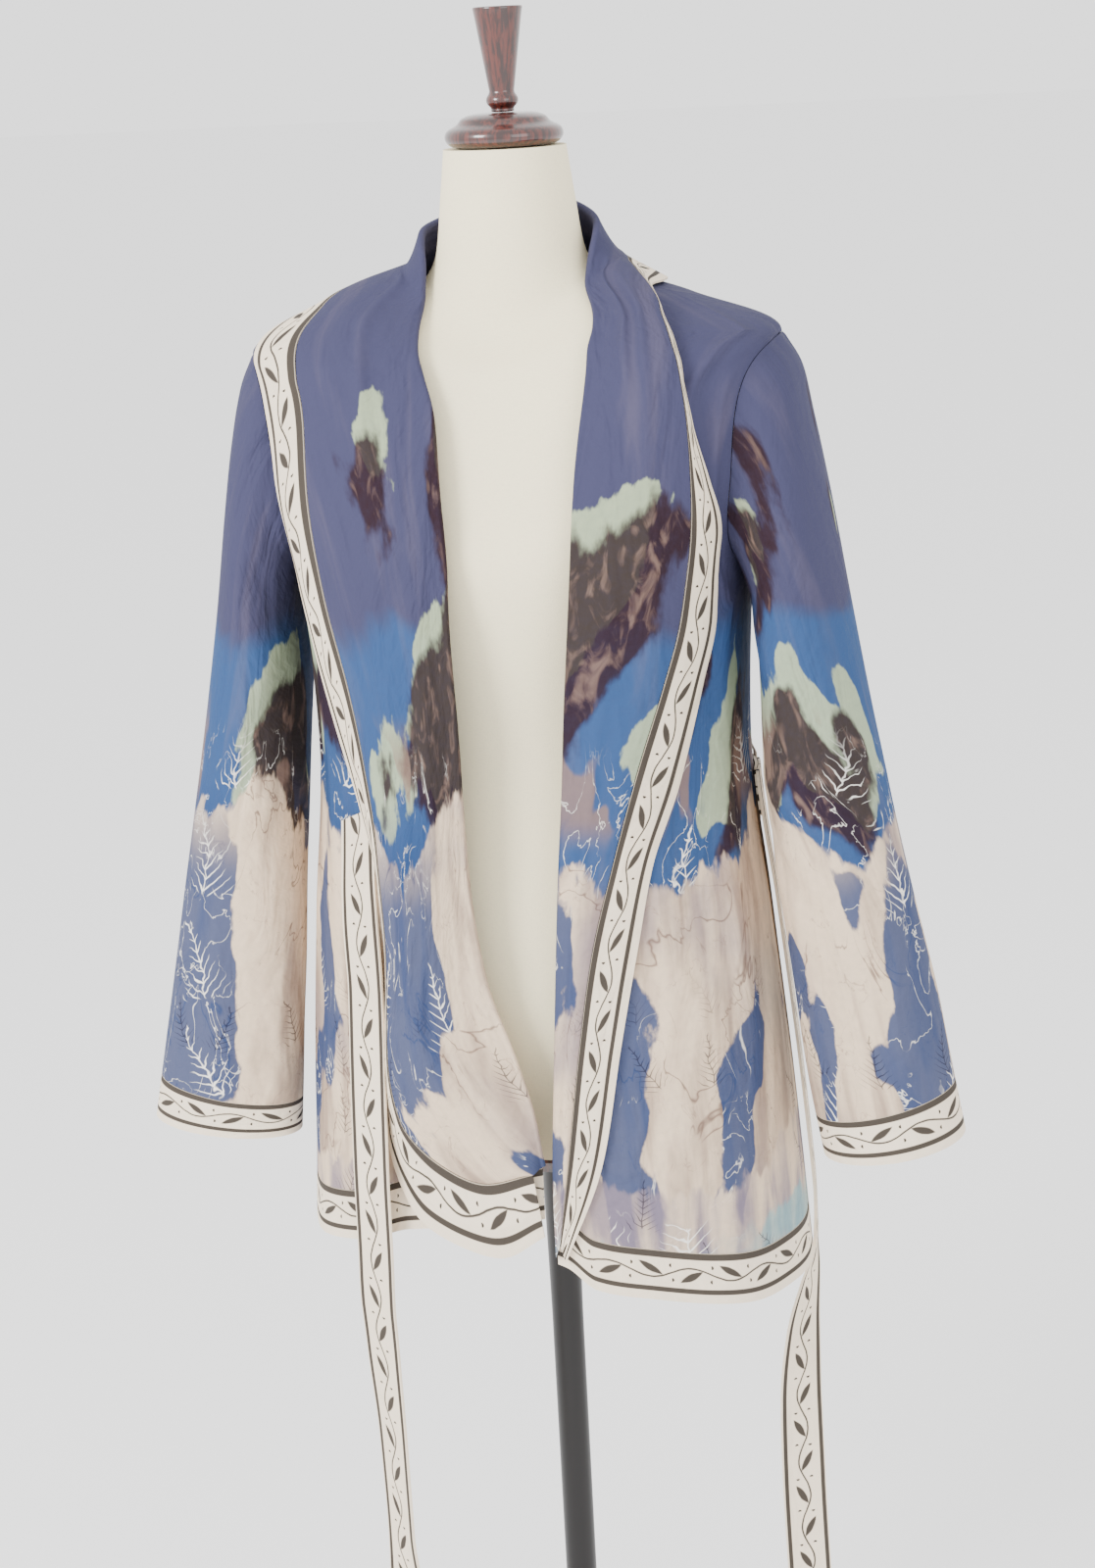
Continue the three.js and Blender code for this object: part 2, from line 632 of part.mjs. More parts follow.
// A place on a sleeve: t runs from the armhole to the cuff, angle round it.
function sleeveSurface(side) {
  const rows = side > 0 ? SLEEVE_LEFT : SLEEVE_RIGHT;
  const [outX, outZ, inX, inZ, midY, depth] = SLEEVE_COLUMNS.map((c) => along(rows, c));
  const tube = (t, a) => {
    const c = Math.cos(a);
    const y = midY(t) - (depth(t) / 2) * Math.sin(a);
    const share = (1 - c) / 2;
    return new THREE.Vector3(lerp(outX(t), inX(t), share), y, lerp(outZ(t), inZ(t), share));
  };
  return (t, angle) => {
    const a = THREE.MathUtils.degToRad(angle);
    const p = tube(t, a);
    const fade = Math.max(0, 1 - t / LOOP_FADE) ** 2;
    if (fade > 0) {
      const front = angle <= 180;
      const edge = armhole(front ? angle : 360 - angle, front ? -1 : 1);
      const there = shellSurface(edge.turn, edge.drop);
      there.x += SEAM;
      p.addScaledVector(there.sub(tube(0, a)), fade);
    }
    p.x *= side;
    return p;
  };
}

// A stretch of sleeve between two shares of its length.
function sleevePart(side, ts) {
  const surface = sleeveSurface(side);
  const angles = shares(ROUND).slice(0, -1).map((s) => s * 360);
  return wall(ts, angles, CLOTH, (t, angle, depth) => {
    const p = surface(t, angle);
    const round = surface(t, angle + NEAR.angle).sub(surface(t, angle - NEAR.angle));
    const after = surface(Math.min(1, t + NEAR.share), angle);
    const down = after.sub(surface(Math.max(0, t - NEAR.share), angle));
    const normal = round.cross(down).multiplyScalar(side).normalize();
    return p.addScaledVector(normal, -depth);
  }, true);
}

// A hanging end of the belt: a strip along a path, turned by its face angle. Its
// top is folded down at a slant.
function beltEnd(rows, slant) {
  const [turn, drop, out, face, hug] = BELT_COLUMNS.map((c) => along(rows, c));
  const lastRing = SHELL.at(-1).drop;
  return wall(shares(BELT_ROWS), [-1, 0, 1], BELT_THICK, (t, s, depth) => {
    const a = THREE.MathUtils.degToRad(face(t));
    const normal = new THREE.Vector3(Math.sin(a), -Math.cos(a), 0);
    const across = new THREE.Vector3(Math.cos(a), Math.sin(a), 0);
    const folded = ((slant * (1 - s)) / 2) * Math.max(0, 1 - t * TOP_FOLD);
    const low = drop(t) + folded;
    const middle = { turn: turn(t), drop: Math.min(low, lastRing) };
    const proud = BELT_THICK / 2 - depth;
    const side = shifted(middle, (s * BELT_WIDTH) / 2);
    const p = shell(middle.turn, middle.drop, out(t))
      .addScaledVector(across, (s * BELT_WIDTH) / 2)
      .addScaledVector(normal, proud)
      .lerp(shell(side.turn, side.drop, out(t) + proud), hug(t));
    p.z -= Math.max(0, low - lastRing);
    return p;
  });
}

// The belt round the back, on the panels' own columns.
function beltBack() {
  const { from, to } = BELT_TURNS;
  const inner = shares(BACK_COLUMNS).map((w) => lerp(90, 270, w));
  const turns = [from, ...inner.filter((turn) => turn > from && turn < to), to];
  return wall(shares(3), turns, BELT_THICK, (u, turn, depth) =>
    shell(turn, BELT_DROP + (u - 0.5) * BELT_WIDTH, BELT_OUT + BELT_THICK - depth),
  );
}

// A loop of cloth at the side seam, over the belt.
function beltLoop(turn) {
  const halfLength = BELT_WIDTH / 2 + LOOP.spare;
  const perDegree = degreeLength(turn, BELT_DROP);
  return wall(shares(8), [-0.5, 0.5], LOOP.thick, (u, w, depth) => {
    const reach = Math.abs(2 * u - 1);
    const rise = Math.min(1, Math.max(0, (LOOP.foot - reach) / (LOOP.foot - LOOP.flat)));
    const out = LOOP.thick + LOOP_OUT + rise * (BELT_OUT + BELT_THICK);
    const drop = BELT_DROP + (u - 0.5) * 2 * halfLength;
    return shell(turn + (w * LOOP.width) / perDegree, drop, out - depth);
  });
}

// A turned piece from its outline.
function turned(profile, segments) {
  const points = profile.map((p) => new THREE.Vector2(p.radius, p.z));
  const geometry = new THREE.LatheGeometry(points, segments);
  geometry.rotateX(Math.PI / 2);
  return geometry;
}

// One ring of the form, as points.
function formRing(drop) {
  return shares(FORM_COLUMNS).slice(0, -1).map((s) => formSurface(s * 360, drop));
}

// The flat wooden board under the form.
function formBoard() {
  const rim = formRing(FORM.at(-1).drop);
  const ring = (z, shrink) =>
    rim.map((p) => new THREE.Vector3(p.x * shrink, p.y * shrink, z));
  const top = FORM.at(-1).zSide - SEAM;
  return stack([
    ring(top - BOARD_THICK, BOARD_SHRINK.foot),
    ring(top - BOARD_THICK / 4, BOARD_SHRINK.rim),
    ring(top, BOARD_SHRINK.rim),
  ]);
}

function finish(colour, roughness, metalness = 0) {
  return new THREE.MeshStandardMaterial({ color: colour, roughness, metalness });
}

const materials = {
  cloth: finish(COLOURS.sky, 0.75),
  border: finish(COLOURS.border, 0.75),
  linen: finish(COLOURS.linen, 0.9),
  wood: finish(COLOURS.wood, 0.3),
  steel: finish(COLOURS.steel, 0.4, 0.6),
};

const jacketOnForm = new THREE.Group();

function add(name, geometry, material) {
  const mesh = new THREE.Mesh(geometry, material);
  mesh.name = name;
  jacketOnForm.add(mesh);
}

add("form_torso", stack(FORM_DROPS.map(formRing)), materials.linen);
add("form_board", formBoard(), materials.wood);
add("neck_cap", turned(CAP_PROFILE, 32), materials.wood);
add("neck_finial", turned(FINIAL_PROFILE, 24), materials.wood);
add("stand_pole", turned(POLE_PROFILE, 20), materials.steel);
add("stand_base", turned(BASE_PROFILE, 40), materials.wood);

add("jacket_back", ruled(boundary(1, 1), boundary(-1, 1), BACK_COLUMNS), materials.cloth);
add("jacket_front_left", frontPanel(1), materials.cloth);
add("jacket_front_right", frontPanel(-1), materials.cloth);
add("collar_stand", collarStand(), materials.cloth);
add("collar_left", collar(1), materials.cloth);
add("collar_right", collar(-1), materials.cloth);
add("collar_border_left", collarBorder(1), materials.border);
add("collar_border_right", collarBorder(-1), materials.border);

const spread = (a, b, count) => shares(count).map((t) => lerp(a, b, t));
const frontEnds = [1, -1].map((side) => {
  const end = rollPlaces(side).at(-1);
  return rollTurn(side)(hemDrop(end.turn) - BORDER);
});
const leftTurns = spread(frontEnds[0], 90, FRONT_COLUMNS);
const rightTurns = spread(270, frontEnds[1], FRONT_COLUMNS);
add("hem_border_left", hemBorder(leftTurns, { 0: rollTurn(1) }), materials.border);
add("hem_border_back", hemBorder(spread(90, 270, BACK_COLUMNS)), materials.border);
add("hem_border_right", hemBorder(rightTurns, { [FRONT_COLUMNS]: rollTurn(-1) }), materials.border);

for (const [name, side] of [["left", 1], ["right", -1]]) {
  add("sleeve_" + name, sleevePart(side, SLEEVE_ROWS), materials.cloth);
  add("cuff_border_" + name, sleevePart(side, CUFF_ROWS), materials.border);
}

add("belt_back", beltBack(), materials.border);
add("belt_end_left", beltEnd(BELT_LEFT, BELT_SLANT.left), materials.border);
add("belt_end_right", beltEnd(BELT_RIGHT, BELT_SLANT.right), materials.border);
add("belt_loop", beltLoop(BELT_LOOP_TURN), materials.border);

export default jacketOnForm;
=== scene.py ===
"""A printed wrap jacket with a shawl collar, on a dress form, for Cycles.

Lengths are in millimetres until a mesh is made. Most of the jacket lies on one
draped shell, where a place has two measures: turn, in degrees round the body from
the centre front over the wearer's left (90) to the centre back (180), and drop, in
millimetres of cloth down from the neck seam.
"""
import logging
import math
from dataclasses import dataclass, field
from enum import Enum
from typing import Callable

import bmesh
import bpy
import numpy as np
from mathutils import Matrix, Vector


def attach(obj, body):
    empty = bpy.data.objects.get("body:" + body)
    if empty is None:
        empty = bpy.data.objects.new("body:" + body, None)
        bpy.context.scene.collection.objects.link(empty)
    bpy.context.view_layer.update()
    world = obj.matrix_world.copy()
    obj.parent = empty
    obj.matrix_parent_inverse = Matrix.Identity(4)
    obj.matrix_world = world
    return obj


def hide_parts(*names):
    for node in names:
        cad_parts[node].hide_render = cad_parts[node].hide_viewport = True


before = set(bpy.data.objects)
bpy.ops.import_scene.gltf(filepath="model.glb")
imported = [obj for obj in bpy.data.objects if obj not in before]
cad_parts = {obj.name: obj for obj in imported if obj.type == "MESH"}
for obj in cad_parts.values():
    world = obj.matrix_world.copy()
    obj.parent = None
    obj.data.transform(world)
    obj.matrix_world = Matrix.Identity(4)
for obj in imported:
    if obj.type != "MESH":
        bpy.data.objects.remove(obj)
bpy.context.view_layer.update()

LOG = logging.getLogger("jacket")
MM = 0.001

CLOTH = 1.6
SEAM = 0.3
ROLL_GAP = 0.4
BORDER = 42.0
BELT_WIDTH = 38.0
BELT_THICK = 2.0
BELT_DROP = 470.0
BELT_OUT = 1.2
BELT_TURNS = (93.0, 268.0)
LOOP_WIDTH = 8.0
LOOP_OUT = 0.9
LOOP_THICK = 1.0
LOOP_TURN = 106.0
LOOP_SPARE = 14.0
COLLAR_OUT = 4.2
SEAM_SHARE = 0.74
CUFF_SHARE = 0.93
LOOP_FADE = 0.3
FLUTE_RAMP = 360.0
CAP_Z = 1470.0
SHOULDER_STEPS = 4
ARMHOLE_STEPS = 10
SIDE_STEPS = 9
PANEL_STEPS = SHOULDER_STEPS + ARMHOLE_STEPS + SIDE_STEPS
STAND_STEPS = 9
NECK_ROW = 6
BACK_GAP = 0.0004
ARMHOLE_TOP = 125.0
ARMHOLE_BOTTOM = 285.0
ARMHOLE_HALF_TURN = 22.0
ARMHOLE_POWER = 2 / 3


def table(names: str, rows: list[tuple]) -> dict[str, np.ndarray]:
    """Turns rows of numbers into named columns.

    Args:
        names: The columns' names, parted by spaces.
        rows: One tuple of numbers a row.

    Returns:
        Each column's numbers under its name.
    """
    columns = np.array(rows, float).T
    return dict(zip(names.split(), columns))


RING_COLUMNS = "drop half_width front back z_side z_front z_back square"
SHELL_ROWS = table(
    RING_COLUMNS,
    [
        (-46, 62, 56, 58, 1416, 1392, 1430, 2.0),
        (0, 74, 64, 66, 1380, 1350, 1394, 2.1),
        (60, 136, 96, 94, 1358, 1316, 1362, 2.3),
        (125, 198, 112, 112, 1330, 1272, 1300, 2.6),
        (200, 190, 125, 118, 1252, 1215, 1235, 2.6),
        (285, 173, 132, 116, 1168, 1150, 1160, 2.5),
        (420, 167, 125, 113, 1028, 1028, 1028, 2.4),
        (560, 180, 129, 122, 888, 888, 888, 2.3),
        (700, 193, 136, 133, 748, 748, 748, 2.3),
        (860, 205, 142, 145, 588, 588, 588, 2.3),
    ],
)
FORM_ROWS = table(
    RING_COLUMNS,
    [
        (-86, 45, 45, 45, 1469.7, 1469.7, 1469.7, 2.0),
        (-46, 50, 49, 50, 1430, 1430, 1430, 2.0),
        (-14, 55, 52, 54, 1396, 1388, 1402, 2.0),
        (0, 66, 57, 58, 1377.5, 1347, 1389, 2.1),
        (60, 129, 85, 85, 1357.4, 1313, 1358, 2.3),
        (116, 178, 98, 101, 1329, 1273, 1294, 2.5),
        (200, 172, 110, 106, 1250, 1215, 1230, 2.5),
        (285, 150, 117, 102, 1180, 1180, 1180, 2.3),
        (420, 117, 86, 82, 1028, 1028, 1028, 2.1),
        (560, 148, 98, 108, 888, 888, 888, 2.2),
        (640, 161, 104, 118, 808, 808, 808, 2.2),
        (740, 156, 101, 113, 708, 708, 708, 2.2),
    ],
)
FLUTES = table(
    "turn width from_drop height",
    [
        (60, 10, 500, 7),
        (86, 10, 500, 3),
        (122, 10, 490, 9),
        (152, 10, 480, 9),
        (182, 10, 490, 7),
        (212, 10, 480, 9),
        (240, 10, 490, 9),
        (276, 10, 500, 3),
        (298, 9, 500, 7),
    ],
)
ROLL_LEFT = table(
    "turn drop",
    [
        (180, -46), (150, -45), (120, -43), (96, -38), (80, -27), (70, -14), (63, 0),
        (55, 24), (47, 48), (42, 66), (38.6, 92), (35.5, 124), (30.7, 184), (27.6, 266),
        (25.4, 348), (23.4, 427), (20.5, 502), (17.9, 578), (15.5, 656), (13.4, 737),
        (12.8, 800),
    ],
)
ROLL_RIGHT = table(
    "turn drop",
    [
        (180, -46), (150, -46), (120, -44), (96, -42), (76, -36), (62, -24), (52, 0),
        (42, 22), (33, 44), (24, 76), (18.3, 108), (14.2, 172), (11.3, 261),
        (11.7, 347), (12, 428), (11, 504), (6.8, 580), (-2, 642), (-7.5, 690),
        (-9.5, 727),
    ],
)
SEAM_LEFT = table(
    "turn drop",
    [
        (180, 24), (150, 22), (124, 16), (102, 12), (86, 22), (72, 44), (62, 76),
        (58, 104), (56.8, 130), (56.6, 160), (56.2, 196), (55.6, 246), (53.5, 304),
        (49.5, 354), (43, 418), (35.5, 488), (28.4, 556), (23, 634), (18.2, 720),
        (14.2, 790),
    ],
)
EDGE_LEFT = table(
    "turn drop",
    [
        (180, 64), (150, 60), (124, 52), (102, 40), (85, 36), (71.6, 51), (62.9, 80),
        (59, 107), (57.8, 133), (58.4, 163), (61.4, 204), (66, 256), (66, 312),
        (62, 362), (55.2, 432), (46.6, 492), (41, 556), (34.6, 634), (27.6, 726),
        (15.6, 806),
    ],
)
SEAM_RIGHT = table(
    "turn drop",
    [
        (180, 26), (150, 28), (124, 32), (102, 38), (86, 46), (74, 60), (64, 86),
        (56, 118), (52.2, 151), (49.7, 215), (46.8, 279), (42.4, 348), (39.4, 418),
        (36, 478), (34, 560), (34.4, 632), (32.1, 692), (22.8, 724), (8.4, 739),
        (-7.6, 728),
    ],
)
EDGE_RIGHT = table(
    "turn drop",
    [
        (180, 66), (150, 68), (124, 72), (102, 80), (88, 88), (78, 102), (71, 124),
        (66.5, 152), (64.5, 190), (65.5, 262), (60.5, 329), (54.4, 394), (47.4, 452),
        (41.5, 511), (39, 585), (40, 650), (40, 712), (30, 782), (6, 805),
        (-9.4, 785),
    ],
)
LIFT_LEFT = table(
    "drop height",
    [(-46, 6), (30, 9), (120, 8), (300, 10), (450, 9), (650, 7), (800, 2)],
)
LIFT_RIGHT = table(
    "drop height",
    [(-46, 6), (30, 9), (120, 7), (300, 12), (420, 18), (520, 26), (650, 26), (740, 12), (800, 8)],
)
HEM_ROWS = table(
    "turn drop",
    [
        (10, 806), (16, 812), (24, 830), (40, 840), (54, 849), (72, 858), (90, 860),
        (130, 856), (180, 850), (230, 842), (270, 832), (296, 822), (310, 813),
        (325, 793), (338, 786), (354, 780), (372, 770),
    ],
)
SLEEVE_COLUMNS = "out_x out_z in_x in_z mid_y depth"
SLEEVE_LEFT = table(
    SLEEVE_COLUMNS,
    [
        (198, 1330, 173, 1168, 0, 150),
        (213, 1308, 178, 1138, -2, 148),
        (222, 1272, 181, 1108, -6, 144),
        (235, 1212, 182, 1072, -12, 138),
        (248, 1143, 183, 1025, -18, 130),
        (262, 1070, 187, 972, -24, 122),
        (278, 992, 194, 916, -30, 112),
        (296, 910, 203, 850, -34, 103),
        (313, 838, 211, 785, -37, 96),
        (323, 784, 216.5, 750, -39, 93),
        (334, 725, 225, 704, -40, 92),
    ],
)
SLEEVE_RIGHT = table(
    SLEEVE_COLUMNS,
    [
        (198, 1330, 173, 1168, 0, 150),
        (211, 1306, 178, 1138, -2, 146),
        (219, 1272, 181, 1108, -6, 138),
        (229, 1212, 182, 1068, -13, 130),
        (240, 1143, 184, 1020, -20, 118),
        (254, 1065, 186, 965, -28, 106),
        (270, 985, 189, 908, -35, 94),
        (287, 905, 192, 848, -40, 84),
        (303, 828, 197, 788, -44, 76),
        (318, 760, 201, 738, -46, 72),
        (330, 706, 205, 697, -47, 70),
    ],
)
BELT_COLUMNS = "turn drop out face hug"
BELT_LEFT = table(
    BELT_COLUMNS,
    [
        (97, 451, 4.8, 98, 1),
        (97.5, 500, 4.9, 98, 1),
        (98, 560, 5.2, 98, 0.6),
        (98.5, 640, 5.8, 98, 0),
        (99, 720, 6.5, 98, 0),
        (99.5, 800, 7, 98, 0),
        (100, 862, 3, 94, 0),
        (100, 895, -2, 76, 0),
        (100, 945, -9, 54, 0),
        (100, 1010, -12, 36, 0),
        (100, 1090, -11, 28, 0),
        (100, 1185, -8, 26, 0),
    ],
)
BELT_RIGHT = table(
    BELT_COLUMNS,
    [
        (310.6, 452, 1.4, -31, 1),
        (310.2, 505, 1.3, -31, 1),
        (311.2, 540, 2.6, -30, 0.8),
        (315, 600, 9, -29, 0),
        (316.2, 650, 12, -28, 0),
        (317, 705, 14, -28, 0),
        (317.5, 760, 15, -28, 0),
        (318, 830, 15, -28, 0),
        (318, 900, 12, -31, 0),
        (318.5, 980, 10, -38, 0),
        (318.5, 1060, 9, -40, 0),
        (319, 1110, 9, -30, 0),
        (319, 1150, 9, -22, 0),
    ],
)
CAP_PROFILE = [(0, 0), (36, 0), (42, 3), (44, 8), (42, 13), (35, 16), (33, 18), (31, 21), (22, 24), (0, 24)]
FINIAL_PROFILE = [
    (0, 24.3), (9, 24.3), (8, 27), (11.5, 30), (12, 34), (9, 38), (9.5, 41),
    (17.5, 94), (18.2, 96.5), (17.5, 98), (0, 98),
]
BASE_PROFILE = [(0, 0), (156, 0), (160, 4), (160, 12), (154, 17), (60, 24), (54, 26), (0, 26)]
POLE_TOP = 695.4
POLE_PROFILE = [
    (0, 26.3), (24, 26.3), (22, 34), (13, 42), (13, POLE_TOP - 14), (20, POLE_TOP - 8),
    (20, POLE_TOP), (0, POLE_TOP),
]


class Side(Enum):
    """The wearer's left, at +X, or right."""

    LEFT = 1
    RIGHT = -1


def lerp(a, b, t):
    """Goes from a at t = 0 to b at t = 1.

    Args:
        a: The start, a number or an array.
        b: The end.
        t: The share.

    Returns:
        The value at that share.
    """
    return a + (b - a) * t


class Curve:
    """A smooth curve through points that doesn't overshoot between them."""

    def __init__(self, xs: np.ndarray, ys: np.ndarray) -> None:
        """Keeps the points and finds the slope at each.

        Args:
            xs: The places, rising.
            ys: The values there.
        """
        self.xs = np.asarray(xs, float)
        self.ys = np.asarray(ys, float)
        slope = np.diff(self.ys) / np.diff(self.xs)
        before, after = slope[:-1], slope[1:]
        alike = before * after > 0
        total = np.where(alike, before + after, 1.0)
        inner = np.where(alike, 2 * before * after / total, 0.0)
        self.bend = np.concatenate([slope[:1], inner, slope[-1:]])

    def __call__(self, x) -> np.ndarray:
        """Gives the curve's value.

        Args:
            x: A place or an array of them; beyond the ends the end's value holds.

        Returns:
            The values.
        """
        x = np.clip(x, self.xs[0], self.xs[-1])
        i = np.clip(np.searchsorted(self.xs, x, side="right") - 1, 0, len(self.xs) - 2)
        width = self.xs[i + 1] - self.xs[i]
        t = (x - self.xs[i]) / width
        rest = 1 - t
        value = self.ys[i] * (1 + 2 * t) * rest**2 + self.bend[i] * width * t * rest**2
        return value + self.ys[i + 1] * t**2 * (3 - 2 * t) - self.bend[i + 1] * width * t**2 * rest


def along(rows: dict[str, np.ndarray], column: str) -> Curve:
    """Makes a curve through a table by the row's number, from 0 to 1.

    Args:
        rows: The table.
        column: The column to follow.

    Returns:
        The curve.
    """
    values = rows[column]
    return Curve(np.linspace(0, 1, len(values)), values)


def unit(vectors: np.ndarray) -> np.ndarray:
    """Scales vectors to length one.

    Args:
        vectors: An array whose last axis is x, y, z.

    Returns:
        The unit vectors.
    """
    return vectors / np.maximum(np.linalg.norm(vectors, axis=-1, keepdims=True), 1e-9)


class Rings:
    """A surface round the body, from a table of horizontal rings."""

    def __init__(self, rows: dict[str, np.ndarray], flutes: dict[str, np.ndarray] | None = None) -> None:
        """Makes a curve down the body for each column.

        Args:
            rows: The rings, with RING_COLUMNS.
            flutes: Where hanging flutes run, if any.
        """
        names = RING_COLUMNS.split()[1:]
        self.curves = {name: Curve(rows["drop"], rows[name]) for name in names}
        self.flutes = flutes

    def fluting(self, turn, drop) -> np.ndarray:
        """Gives how far the flutes stand out.

        Args:
            turn: Degrees round the body.
            drop: Millimetres down from the neck seam.

        Returns:
            Millimetres.
        """
        total = np.zeros(np.broadcast(turn, drop).shape)
        if self.flutes is None:
            return total
        for at, width, start, height in zip(*self.flutes.values()):
            grown = np.clip((drop - start) / FLUTE_RAMP, 0, 1)
            total = total + height * grown * np.exp(-(((turn - at) / width) ** 2))
        return total

    def at(self, turn, drop) -> np.ndarray:
        """Gives points on the surface.

        Args:
            turn: Degrees round the body.
            drop: Millimetres down from the neck seam.

        Returns:
            An array whose last axis is x, y, z in millimetres.
        """
        turn, drop = np.broadcast_arrays(np.asarray(turn, float), np.asarray(drop, float))
        s, c = np.sin(np.radians(turn)), np.cos(np.radians(turn))
        get = {name: curve(drop) for name, curve in self.curves.items()}
        front = c > 0
        depth = np.where(front, get["front"], get["back"])
        n = get["square"]
        radius = (np.abs(s / get["half_width"]) ** n + np.abs(c / depth) ** n) ** (-1 / n)
        radius = radius + self.fluting(turn, drop)
        z = lerp(get["z_side"], np.where(front, get["z_front"], get["z_back"]), c * c)
        return np.stack([radius * s, -radius * c, z], axis=-1)

    def normal(self, turn, drop) -> np.ndarray:
        """Gives the surface's outward direction.

        Args:
            turn: Degrees round the body.
            drop: Millimetres down from the neck seam.

        Returns:
            Unit vectors.
        """
        around = self.at(turn + 0.5, drop) - self.at(turn - 0.5, drop)
        down = self.at(turn, drop + 1) - self.at(turn, drop - 1)
        return unit(np.cross(down, around))

    def off(self, turn, drop, out) -> np.ndarray:
        """Gives points off the surface.

        Args:
            turn: Degrees round the body.
            drop: Millimetres down from the neck seam.
            out: Millimetres outward.

        Returns:
            Points.
        """
        return self.at(turn, drop) + self.normal(turn, drop) * np.asarray(out)[..., None]


SHELL = Rings(SHELL_ROWS, FLUTES)
BODY = Rings(FORM_ROWS)
HEM = Curve(HEM_ROWS["turn"], HEM_ROWS["drop"])


def per_degree(turn, drop) -> np.ndarray:
    """Gives how many millimetres of cloth one degree of turn spans.

    Args:
        turn: Degrees round the body.
        drop: Millimetres down from the neck seam.

    Returns:
        Millimetres a degree.
    """
    return np.linalg.norm(SHELL.at(turn + 0.5, drop) - SHELL.at(turn - 0.5, drop), axis=-1)


@dataclass(frozen=True)
class Fold:
    """A soft ridge or hollow along a line of a piece.

    The line's ends are shares of the piece, down and across, and its reach and
    height are in millimetres.
    """

    down: tuple[float, float]
    across: tuple[float, float]
    reach: float
    height: float

    def lift(self, u: np.ndarray, w: np.ndarray, size: tuple[float, float]) -> np.ndarray:
        """Gives how far the fold raises each point.

        Args:
            u: Shares down the piece.
            w: Shares across it.
            size: The piece's length and width in millimetres.

        Returns:
            Millimetres, for each point.
        """
        length, width = size
        start = np.array([self.down[0] * length, self.across[0] * width])
        run = np.array([self.down[1] * length, self.across[1] * width]) - start
        here = np.stack([u * length, w * width], axis=-1) - start
        t = np.clip(here @ run / (run @ run), 0, 1)
        away = np.linalg.norm(here - t[..., None] * run, axis=-1)
        fade = np.sin(np.pi * np.clip(t * 0.9 + 0.05, 0, 1)) ** 0.7
        return self.height * fade * np.exp(-((away / self.reach) ** 2))


def folded(folds: tuple[Fold, ...], u, w, size: tuple[float, float]) -> np.ndarray:
    """Adds up a piece's folds.

    Args:
        folds: The folds.
        u: Shares down the piece.
        w: Shares across it.
        size: The piece's length and width in millimetres.

    Returns:
        Millimetres, for each point.
    """
    total = np.zeros(np.broadcast(u, w).shape)
    for one in folds:
        total = total + one.lift(u, w, size)
    return total


Place = Callable[[np.ndarray, np.ndarray, float], np.ndarray]


